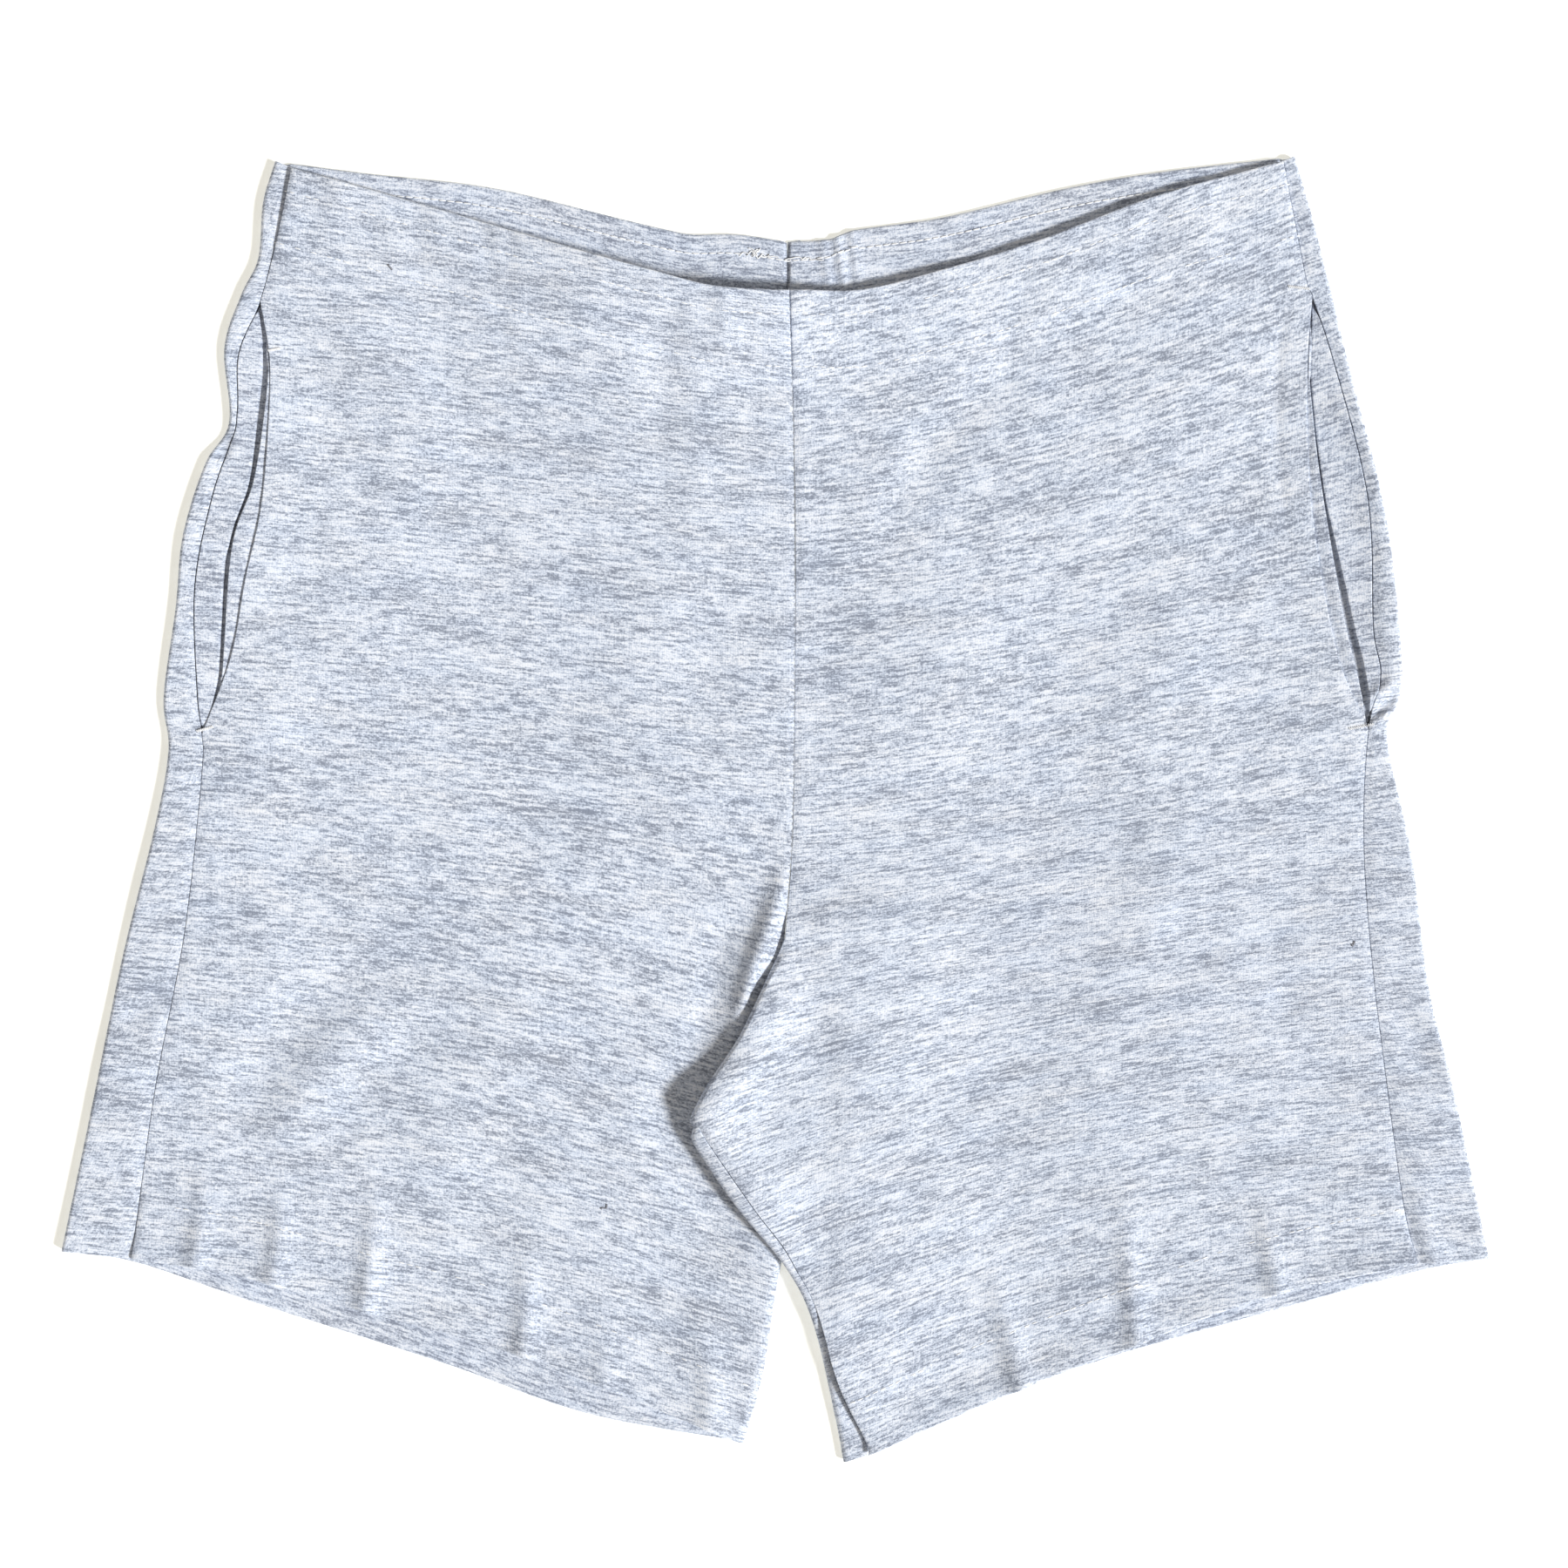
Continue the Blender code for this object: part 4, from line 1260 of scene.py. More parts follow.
@dataclass
class Pocket:
    """The back and front layers of one pocket bag, seen in its gaping mouth.

    The back layer runs in from the side seam on a shelf, falls away steeply beside the mouth, and
    goes on low to the inner edge of the bag. The front layer's edge is bare beside the mouth.
    """

    side: SideEdge
    courses: Courses
    relief: Relief
    gape: Sequence[tuple[float, float, float, float]]
    crown: float = 0.0052
    facing_drop: float = 0.0005
    facing_run: float = 0.0022
    mouth_rise: float = 0.0012
    mouth_reach: float = 0.014
    depth: float = 0.078
    top_y: float = 0.212
    bottom_y: float = -0.030
    corner: float = 0.060
    corner_fullness: float = 0.97
    narrow_mouth: float = 0.0008
    wide_mouth: float = 0.0040
    least_drop: float = 0.0004
    least_shelf: float = 0.4
    shelf_rim: float = 0.5
    strip_share: float = 0.6
    bare_gain: float = 3.0
    row_spacing: float = 0.0022
    seam_rows: int = 400
    shelf_steps: int = 12
    fall_steps: int = 10
    low_steps: int = 20
    front_steps: int = 24
    back_offset: Pair = (0.53, 0.29)
    front_offset: Pair = (0.71, 0.67)
    back: Wall = field(init=False)
    front: Wall = field(init=False)

    def __post_init__(self) -> None:
        """Work out the rows of the bag and its seam and inner edges."""
        count = int((self.top_y - self.bottom_y) / self.row_spacing)
        self.y = np.linspace(self.top_y, self.bottom_y, count)
        self.inward = -self.side.hand.value
        seam = self.side.seam_at(np.linspace(0.0, self.side.seam_curve.length, self.seam_rows))
        self.seam = np.interp(-self.y, -seam[:, 1], seam[:, 0]) + self.inward * CLOTH.gap
        fall = np.clip((self.bottom_y + self.corner - self.y) / self.corner, 0.0, self.corner_fullness)
        self.inner = self.seam + self.inward * (self.depth - self.corner * (1 - np.sqrt(1 - fall**2)))
        self.mouth_foot = self.side.mouth_curve.points[-1, 1]
        self.in_mouth = self.y > self.mouth_foot

    def layer(self, name: str, start: Grid, run: Grid, height: Grid, offset: Pair) -> Wall:
        """One layer of the bag.

        Args:
            name: The layer's name.
            start: The X of its outer edge, row by row.
            run: The distances of its points from there towards the centre seam.
            height: Their heights.
            offset: The shift of its pattern.

        Returns:
            The layer.
        """
        x = start[:, None] + self.inward * run
        plan = np.stack([x, np.repeat(self.y[:, None], x.shape[1], axis=1)], axis=-1)
        face = raised(with_height(plan, height), self.relief)
        outward = 1 if normals_of(face)[len(face) // 2, 2, 2] > 0 else -1
        thickness = np.full(face.shape[:2], CLOTH.wall)
        return Wall(f"{name}_{self.side.hand.word}_cloth", face, self.courses.straightened(plan), thickness,
                    outward, offset)

    def build_back(self, material: Material) -> Piece:
        """Make the layer that is sewn into the side seam and falls away under the front.

        Args:
            material: The cloth that it is cut from.

        Returns:
            The object.
        """
        facing = self.side.facing_curve.x_at(self.y)
        width = np.where(self.in_mouth, (facing - self.seam) * self.inward, 0.0)
        down, *values = np.array(self.gape, float).T * MM
        gap, fall_run, shoulder = (np.interp(-self.y, -down, value) for value in values)
        drop = np.maximum(width - gap, self.least_drop)
        shelf = np.maximum(drop - fall_run, drop * self.least_shelf)
        shown = smooth((width - self.narrow_mouth) / (self.wide_mouth - self.narrow_mouth))
        reach = (self.inner - self.seam) * self.inward
        shelf_rim = np.minimum(shelf * self.shelf_rim, CLOTH.wall / 2)
        near = rim_places(shelf, shelf_rim, self.shelf_steps, True, False)
        steep = shelf[:, None] + (drop - shelf)[:, None] * np.linspace(0.0, 1.0, self.fall_steps + 1)[1:]
        inner_rim = np.full(len(drop), CLOTH.wall / 2)
        far = drop[:, None] + rim_places(reach - drop, inner_rim, self.low_steps, False, True)[:, 1:]
        run = np.hstack([near, steep, far])
        low = CLOTH.level + CLOTH.wall
        fall = 1 - smooth((run - shelf[:, None]) / (drop - shelf)[:, None])
        across = np.clip(run / shelf[:, None], 0.0, 1.0)
        top = self.crown + (shoulder[:, None] - self.crown) * across
        height = low + (top - low) * shown[:, None] * fall
        self.back = self.layer("pocket_back", self.seam, run, height, self.back_offset)
        return self.back.build(material)

    def build_front(self, material: Material) -> Piece:
        """Make the layer under the front panel, whose edge shows beside the mouth.

        Args:
            material: The cloth that it is cut from.

        Returns:
            The object.
        """
        facing = self.side.facing_curve.x_at(self.y)
        edge = np.where(self.in_mouth, facing, self.seam) + self.inward * CLOTH.gap
        reach = (self.inner - edge) * self.inward
        run = rim_places(reach, np.full(len(reach), CLOTH.wall / 2), self.front_steps, True, True)
        share = np.clip((self.y[0] - self.y) / (self.y[0] - self.mouth_foot), 0.0, 1.0)
        arch = np.sin(np.pi * share)[:, None]
        mouth = self.side.mouth_curve.x_at(self.y)[:, None]
        inside = (edge[:, None] + self.inward * run - mouth) * self.inward
        lifted = self.mouth_rise * arch * bump(np.maximum(inside, 0.0), self.mouth_reach)
        strip = np.maximum(-inside[:, :1], MM)
        bare = smooth(-inside / np.minimum(self.facing_run, self.strip_share * strip))
        bare = bare * np.minimum(self.bare_gain * arch, 1.0)
        under = 2 * CLOTH.level + CLOTH.wall
        height = under + lifted + (CLOTH.front_top - self.facing_drop - under) * bare
        self.front = self.layer("pocket_front", edge, run, height, self.front_offset)
        return self.front.build(material)


# ---- node groups

class Sketch:
    """Adds nodes to a tree and links them as it goes."""

    def __init__(self, tree: Tree) -> None:
        """Keep the tree, and the place of the next node."""
        self.tree = tree
        self.count = 0

    def node(self, kind: str, inputs: dict | None = None, **settings: object) -> Node:
        """Add a node.

        Args:
            kind: The node's type.
            inputs: Values or sockets for its inputs, by name or number.
            settings: Attributes of the node.

        Returns:
            The node.
        """
        made = self.tree.nodes.new(kind)
        made.location = (180 * (self.count % 12), -220 * (self.count // 12))
        self.count += 1
        for key, value in settings.items():
            setattr(made, key, value)
        self.fill(made, inputs or {})
        return made

    def fill(self, node: Node, inputs: dict) -> None:
        """Set a node's inputs.

        Args:
            node: The node.
            inputs: Values or sockets, by the name or number of the input.
        """
        for key, value in inputs.items():
            if isinstance(value, Socket):
                self.tree.links.new(value, node.inputs[key])
            else:
                node.inputs[key].default_value = value

    def math(self, operation: str, *values: object, clamp: bool = False) -> Socket:
        """A Math node.

        Args:
            operation: What it works out.
            values: Its numbers or sockets.
            clamp: Whether to keep the result between 0 and 1.

        Returns:
            The socket of its result.
        """
        return self.node("ShaderNodeMath", dict(enumerate(values)), operation=operation,
                         use_clamp=clamp).outputs[0]


Group = tuple[Sketch, Node, Node]


def new_material(name: str) -> tuple[Material, Sketch, Node]:
    """A material, with a sketch of its nodes and its shader."""
    made = bpy.data.materials.new(name)
    made.use_nodes = True
    return made, Sketch(made.node_tree), made.node_tree.nodes["Principled BSDF"]


def new_group(name: str, kind: str, takes: dict[str, str], gives: dict[str, str]) -> Group:
    """A node group with named sockets.

    Args:
        name: The group's name.
        kind: The type of tree.
        takes: Input names and socket types.
        gives: Output names and socket types.

    Returns:
        A sketch of the tree, its input node and its output node.
    """
    tree = bpy.data.node_groups.new(name, kind)
    for title, socket in takes.items():
        tree.interface.new_socket(title, in_out="INPUT", socket_type=socket)
    for title, socket in gives.items():
        tree.interface.new_socket(title, in_out="OUTPUT", socket_type=socket)
    sketch = Sketch(tree)
    return sketch, sketch.node("NodeGroupInput"), sketch.node("NodeGroupOutput")


@dataclass(frozen=True)
class Fibres:
    """One scale of the streaks that light and dark fibres make in the yarn.

    stretch and size are shares of the jersey's streak length and width.
    """

    stretch: float
    size: float
    detail: float
    rough: float
    seed: float
    weight: float


STREAKS = [
    Fibres(4.6, 10.0, 2.0, 0.6, 3.1, 0.50),
    Fibres(1.0, 0.9, 2.0, 0.6, 11.7, 1.1),
    Fibres(0.42, 1.5, 3.0, 0.75, 23.9, 1.05),
    Fibres(0.10, 0.65, 2.0, 0.8, 37.3, 1.25),
]
TINTS = Fibres(2.5, 9.0, 2.0, 0.6, 51.1, 1.6)
SEED_SLANT = 1.7


def heather_group() -> Tree:
    """Streaks of light and dark fibre along the courses, on several scales.

    Returns:
        A shader group that gives the shade from about 0, dark, to 1, light, and a blue tint.
    """
    number, vector = "NodeSocketFloat", "NodeSocketVector"
    sketch, taken, given = new_group(
        "heather", "ShaderNodeTree",
        {"Cloth": vector, "Streak Length": number, "Streak Width": number, "Contrast": number},
        {"Shade": number, "Tint": number})

    def streaks(fibres: Fibres) -> Socket:
        """Noise stretched along the courses, about zero and as strong as its weight.

        Args:
            fibres: The scale of the streaks.

        Returns:
            The socket of the noise.
        """
        length = sketch.math("MULTIPLY", taken.outputs["Streak Length"], fibres.stretch)
        width = sketch.math("MULTIPLY", taken.outputs["Streak Width"], fibres.size)
        scale = sketch.node("ShaderNodeCombineXYZ", {
            0: sketch.math("DIVIDE", 1.0, length), 1: sketch.math("DIVIDE", 1.0, width), 2: 1.0})
        place = sketch.node("ShaderNodeVectorMath", {0: taken.outputs["Cloth"], 1: scale.outputs[0]},
                            operation="MULTIPLY")
        place = sketch.node("ShaderNodeVectorMath", {0: place.outputs[0],
                                                     1: (fibres.seed, fibres.seed * SEED_SLANT, 0.0)},
                            operation="ADD")
        noise = sketch.node("ShaderNodeTexNoise", {"Vector": place.outputs[0], "Scale": 1.0,
                                                   "Detail": fibres.detail, "Roughness": fibres.rough},
                            noise_dimensions="2D")
        about_zero = sketch.math("SUBTRACT", noise.outputs[0], 0.5)
        return sketch.math("MULTIPLY", about_zero, fibres.weight)

    total = streaks(STREAKS[0])
    for fibres in STREAKS[1:]:
        total = sketch.math("ADD", total, streaks(fibres))
    shade = sketch.math("ADD", sketch.math("MULTIPLY", total, taken.outputs["Contrast"]), 0.5)
    sketch.fill(given, {"Shade": shade, "Tint": sketch.math("ADD", streaks(TINTS), 0.5)})
    return sketch.tree


@dataclass(frozen=True)
class Knit:
    """How far the ribs and courses of the jersey stand up, and how unevenly they run."""

    rib_height: float = 0.28
    course_height: float = 0.08
    unevenness: float = 9.0
    uneven_scale: float = 260.0

    def group(self) -> Tree:
        """The relief of fine jersey: upright wales, crossed by courses.

        Returns:
            A shader group that gives the height of the knit from 0 to 1.
        """
        number, vector = "NodeSocketFloat", "NodeSocketVector"
        sketch, taken, given = new_group(
            "knit", "ShaderNodeTree", {"Cloth": vector, "Wale": number, "Course": number},
            {"Height": number})
        place = sketch.node("ShaderNodeSeparateXYZ", {0: taken.outputs["Cloth"]})
        noise = sketch.node("ShaderNodeTexNoise", {"Vector": taken.outputs["Cloth"],
                                                   "Scale": self.uneven_scale, "Detail": 1.0},
                            noise_dimensions="2D")
        wobble = sketch.math("MULTIPLY", noise.outputs[0], self.unevenness)
        total = 0.5
        for axis, size, height in (("X", "Wale", self.rib_height), ("Y", "Course", self.course_height)):
            turns = sketch.math("DIVIDE", place.outputs[axis], taken.outputs[size])
            angle = sketch.math("ADD", sketch.math("MULTIPLY", turns, 2 * np.pi), wobble)
            wave = sketch.math("MULTIPLY", sketch.math("SINE", angle), height)
            total = sketch.math("ADD", wave, total)
        sketch.fill(given, {"Height": total})
        return sketch.tree


# ---- finishes

@dataclass(frozen=True)
class JerseyFinish:
    """Heather cotton jersey: dark, middle and light tones and the scale of its knit."""

    name: str
    dark: Colour
    middle: Colour
    light: Colour
    streak_length: float = 0.0125
    streak_width: float = 0.0012
    contrast: float = 1.66
    wale: float = 0.00104
    course: float = 0.00078
    roughness: float = 0.9
    specular: float = 0.2
    sheen: float = 0.12
    sheen_roughness: float = 0.5
    # how much of the ribs' height is painted into the colour: painted shade between the ribs, painted light
    # on them
    rib_shade: float = 0.07
    relief: float = 0.00006
    streak_relief: float = 0.5
    warm: Colour = (1.02, 1.0, 0.975)
    cool: Colour = (0.98, 1.0, 1.025)

    def material(self, heather: Tree, knit: Tree) -> Material:
        """Make the material.

        Args:
            heather: The group that gives the streaks.
            knit: The group that gives the knit's height.

        Returns:
            The material, which reads the map named cloth.
        """
        made, sketch, shader = new_material(self.name)
        cloth = sketch.node("ShaderNodeUVMap", uv_map="cloth").outputs[0]
        streaks = sketch.node("ShaderNodeGroup", {
            "Cloth": cloth, "Streak Length": self.streak_length, "Streak Width": self.streak_width,
            "Contrast": self.contrast}, node_tree=heather)
        ribs = sketch.node("ShaderNodeGroup", {"Cloth": cloth, "Wale": self.wale, "Course": self.course},
                           node_tree=knit)
        # painted shade and light: the ribs' height darkens the colour in their hollows and lightens it on
        # their tops
        ribs_about_zero = sketch.math("SUBTRACT", ribs.outputs["Height"], 0.5)
        shade = sketch.math("ADD", streaks.outputs["Shade"],
                            sketch.math("MULTIPLY", ribs_about_zero, self.rib_shade))
        ramp = sketch.node("ShaderNodeValToRGB", {0: shade})
        stops = ramp.color_ramp.elements
        stops[0].position, stops[0].color = 0.0, (*self.dark, 1.0)
        stops[1].position, stops[1].color = 1.0, (*self.light, 1.0)
        stops.new(0.5).color = (*self.middle, 1.0)
        tint = sketch.node("ShaderNodeMix", {0: streaks.outputs["Tint"], 6: (*self.warm, 1.0),
                                             7: (*self.cool, 1.0)}, data_type="RGBA")
        colour = sketch.node("ShaderNodeMix", {0: 1.0, 6: ramp.outputs[0], 7: tint.outputs[2]},
                             data_type="RGBA", blend_type="MULTIPLY")
        streak_height = sketch.math("MULTIPLY", streaks.outputs["Shade"], self.streak_relief)
        height = sketch.math("ADD", ribs.outputs["Height"], streak_height)
        normal = sketch.node("ShaderNodeBump", {"Height": height, "Strength": 1.0, "Distance": self.relief})
        sketch.fill(shader, {
            "Base Color": colour.outputs[2], "Normal": normal.outputs[0], "Roughness": self.roughness,
            "Metallic": 0.0, "Specular IOR Level": self.specular, "Sheen Weight": self.sheen,
            "Sheen Roughness": self.sheen_roughness})
        return made


@dataclass(frozen=True)
class ThreadFinish:
    """Cotton sewing thread with a fine twist, and painted shade in the grooves between its strands."""

    name: str
    colour: Colour
    twist: float = 0.0009
    twists_per_band: float = 6.0
    groove_shade: float = 0.12
    groove_relief: float = 0.0001
    groove_strength: float = 0.6
    roughness: float = 0.7

    def material(self) -> Material:
        """Make the material.

        Returns:
            The material, which reads Object coordinates.
        """
        made, sketch, shader = new_material(self.name)
        place = sketch.node("ShaderNodeTexCoord").outputs["Object"]
        wave = sketch.node("ShaderNodeTexWave", {"Vector": place, "Distortion": 1.0,
                                                 "Scale": 1.0 / self.twist / self.twists_per_band},
                           bands_direction="DIAGONAL")
        # painted shade: the thread's colour darkens in the grooves of its twist
        grooves = sketch.math("MULTIPLY", wave.outputs["Fac"], self.groove_shade)
        shade = sketch.math("ADD", grooves, 1.0 - self.groove_shade)
        colour = sketch.node("ShaderNodeMix", {0: 1.0, 6: (*self.colour, 1.0), 7: shade},
                             data_type="RGBA", blend_type="MULTIPLY")
        normal = sketch.node("ShaderNodeBump", {"Height": wave.outputs["Fac"],
                                                "Strength": self.groove_strength,
                                                "Distance": self.groove_relief})
        sketch.fill(shader, {"Base Color": colour.outputs[2], "Normal": normal.outputs[0],
                             "Roughness": self.roughness, "Metallic": 0.0})
        return made


OUTSIDE = JerseyFinish("jersey_face", dark=(0.245, 0.272, 0.335), middle=(0.545, 0.595, 0.690),
                       light=(0.785, 0.812, 0.865))
# The jersey seen inside the waist and the pocket mouths: the face jersey a few percent darker, as painted
# shade.
SHADED_INSIDE = JerseyFinish("jersey_inside_face", dark=(0.240, 0.265, 0.330), middle=(0.520, 0.568, 0.660),
                      light=(0.755, 0.780, 0.832))
WHITE_THREAD = ThreadFinish("white_thread", (0.93, 0.93, 0.93))
GREY_THREAD = ThreadFinish("grey_thread", (0.30, 0.31, 0.35))


# ---- stitching

@dataclass
class StitchRun:
    """A row of stitches along a line on the cloth."""

    name: str
    line: Grid
    material: Material
    length: float = 0.0028
    pitch: float = 0.0034
    thickness: float = 0.00058
    missing: float = 0.0
    seed: int = 1

    def build(self, tree: Tree) -> Piece:
        """Make the stitches' object.

        Args:
            tree: The geometry group that sets stitches along a line.

        Returns:
            The stitches as one plain mesh.
        """
        mesh = bpy.data.meshes.new(f"{self.name}_line")
        mesh.from_pydata(self.line.tolist(), [(i, i + 1) for i in range(len(self.line) - 1)], [])
        guide = linked(f"{self.name}_line", mesh)
        modifier = guide.modifiers.new("stitches", "NODES")
        modifier.node_group = tree
        values = {"Stitch Length": self.length, "Pitch": self.pitch, "Thickness": self.thickness,
                  "Missing": self.missing, "Seed": self.seed, "Material": self.material}
        for item in tree.interface.items_tree:
            if item.item_type == "SOCKET" and item.in_out == "INPUT" and item.name in values:
                modifier[item.identifier] = values[item.name]
        evaluated = guide.evaluated_get(bpy.context.evaluated_depsgraph_get())
        made_mesh = bpy.data.meshes.new_from_object(evaluated)
        made_mesh.name = self.name
        made_mesh.materials.clear()
        made_mesh.materials.append(self.material)
        made_mesh.polygons.foreach_set("material_index", np.zeros(len(made_mesh.polygons), np.int32))
        bpy.data.objects.remove(guide)
        bpy.data.meshes.remove(mesh)
        made_mesh.shade_smooth()
        return linked(self.name, made_mesh)


@dataclass
class Thread:
    """One length of thread as a round tube along points in space."""

    name: str
    line: Grid
    material: Material
    thickness: float = 0.0005
    sides: int = 6

    def build(self) -> Piece:
        """Make the thread's object.

        Returns:
            The tube, closed at both ends.
        """
        along = np.gradient(self.line, axis=0)
        along /= np.linalg.norm(along, axis=1, keepdims=True)
        across = np.cross(along, (0.0, 0.0, 1.0))
        across /= np.maximum(np.linalg.norm(across, axis=1, keepdims=True), TINY)
        upward = np.cross(across, along)
        angle = np.linspace(0.0, 2 * np.pi, self.sides, endpoint=False)[None, :, None]
        ring = np.cos(angle) * across[:, None] + np.sin(angle) * upward[:, None]
        points = (self.line[:, None] + ring * self.thickness / 2).reshape(-1, 3)
        number = np.arange(len(points)).reshape(-1, self.sides)
        beside = np.roll(number, -1, axis=1)
        quads = np.stack([number[:-1], beside[:-1], beside[1:], number[1:]], axis=-1)
        faces = [*quads.reshape(-1, 4), number[0, ::-1], number[-1]]
        shape = bmesh.new()
        corners = [shape.verts.new(point) for point in points]
        for face in faces:
            shape.faces.new([corners[corner] for corner in face])
        bmesh.ops.recalc_face_normals(shape, faces=shape.faces)
        mesh = bpy.data.meshes.new(self.name)
        shape.to_mesh(mesh)
        shape.free()
        mesh.shade_smooth()
        mesh.materials.append(self.material)
        return linked(self.name, mesh)


@dataclass(frozen=True)
class BarTack:
    """A dense zigzag of thread across the end of a pocket mouth."""

    name: str
    start: Pair
    end: Pair
    width: float = 0.0011
    turns: int = 12
    points_per_turn: int = 8

    def line(self, height_at: Callable[[Grid], Grid]) -> Grid:
        """Points of the zigzag, laid on the cloth.

        Args:
            height_at: The height of the cloth at plan points.

        Returns:
            The points, from one end of the tack to the other.
        """
        start, end = np.array(self.start) * MM, np.array(self.end) * MM
        share = np.linspace(0.0, 1.0, self.points_per_turn * self.turns + 1)[:, None]
        heading = (end - start) / np.linalg.norm(end - start)
        across = np.array([-heading[1], heading[0]])
        swing = np.sin(2 * np.pi * self.turns * share) * self.width / 2
        plan = start + (end - start) * share + across * swing
        return with_height(plan, height_at(plan))


@dataclass(frozen=True)
class LooseThread:
    """A thread end that curls to and fro along a seam."""

    start: Pair
    end: Pair
    seed: int
    swing: float = 0.0016
    curls: int = 9
    fineness: int = 8

    def line(self, height_at: Callable[[Grid], Grid]) -> Grid:
        """Points of the thread, laid on the cloth.

        Args:
            height_at: The height of the cloth at plan points.

        Returns:
            The points, from one end of the thread to the other.
        """
        draw = np.random.default_rng(self.seed)
        start, end = np.array(self.start) * MM, np.array(self.end) * MM
        knots = start + (end - start) * np.linspace(0.0, 1.0, 2 * self.curls)[:, None]
        knots = knots + draw.normal(0.0, self.swing / 2, knots.shape)
        plan = Curve.spline(knots, self.fineness)
        return with_height(plan, height_at(plan))


def height_on(walls: Sequence[Wall], rise: float) -> Callable[[Grid], Grid]:
    """A function from plan points to the height of the highest of some walls there.

    Args:
        walls: The walls of cloth to lie on.
        rise: How far above the cloth to stay.

    Returns:
        The function.
    """
    points = np.vstack([wall.sheets()[0].reshape(-1, 3) for wall in walls])

    def read(plan: Grid) -> Grid:
        """Heights above the cloth.

        Args:
            plan: Plan points.

        Returns:
            The height at each point.
        """
        away = np.linalg.norm(plan[:, None] - points[None, :, :2], axis=2)
        near = np.where(away < CLOTH.spacing, points[None, :, 2], -1.0)
        nearest = points[np.argmin(away, axis=1), 2]
        return np.maximum(near.max(axis=1), nearest) + rise
    return read


def stitch_tree() -> Tree:
    """A geometry group that lays a small thread at every step along a line.

    Returns:
        The tree, with the stitch's sizes, its material and its seed as named inputs.
    """
    number = "NodeSocketFloat"
    sketch, taken, given = new_group(
        "stitches", "GeometryNodeTree",
        {"Line": "NodeSocketGeometry", "Stitch Length": number, "Pitch": number, "Thickness": number,
         "Missing": number, "Seed": "NodeSocketInt", "Material": "NodeSocketMaterial"},
        {"Stitches": "NodeSocketGeometry"})
    curve = sketch.node("GeometryNodeMeshToCurve", {0: taken.outputs["Line"]})
    steps = sketch.node("GeometryNodeResampleCurve", {"Curve": curve.outputs[0],
                                                      "Length": taken.outputs["Pitch"]}, mode="LENGTH")
    thread = sketch.node("GeometryNodeMeshUVSphere", {"Segments": 8, "Rings": 5, "Radius": 0.5})
    size = sketch.node("ShaderNodeCombineXYZ", {
        0: taken.outputs["Stitch Length"], 1: taken.outputs["Thickness"], 2: taken.outputs["Thickness"]})
    heading = sketch.node("GeometryNodeInputTangent")
    aligned = sketch.node("FunctionNodeAlignRotationToVector", {"Vector": heading.outputs[0]}, axis="X")
    kept = sketch.node("FunctionNodeRandomValue", {"Seed": taken.outputs["Seed"]}, data_type="FLOAT")
    shown = sketch.node("FunctionNodeCompare", {0: kept.outputs[1], 1: taken.outputs["Missing"]},
                        data_type="FLOAT", operation="GREATER_THAN")
    placed = sketch.node("GeometryNodeInstanceOnPoints", {
        "Points": steps.outputs[0], "Selection": shown.outputs[0], "Instance": thread.outputs[0],
        "Rotation": aligned.outputs[0], "Scale": size.outputs[0]})
    real = sketch.node("GeometryNodeRealizeInstances", {0: placed.outputs[0]})
    dressed = sketch.node("GeometryNodeSetMaterial", {"Geometry": real.outputs[0],
                                                      "Material": taken.outputs["Material"]})
    sketch.fill(given, {0: dressed.outputs[0]})
    return sketch.tree


# ---- studio

@dataclass(frozen=True)
class KeyLight:
    """A large far light, even over the whole garment and soft at the edges of its shadows."""

    name: str
    place: tuple[float, float, float]
    spread: float
    strength: float
    tint: Colour = (0.978, 1.0, 1.027)

    def build(self) -> None:
        """Hang the light, facing the middle of the garment."""
        lamp = bpy.data.lights.new(self.name, "SUN")
        lamp.angle = self.spread
        lamp.energy = self.strength
        lamp.color = self.tint
        made = linked(self.name, lamp)
        made.location = self.place
        made.rotation_euler = Vector(self.place).to_track_quat("Z", "Y").to_euler()


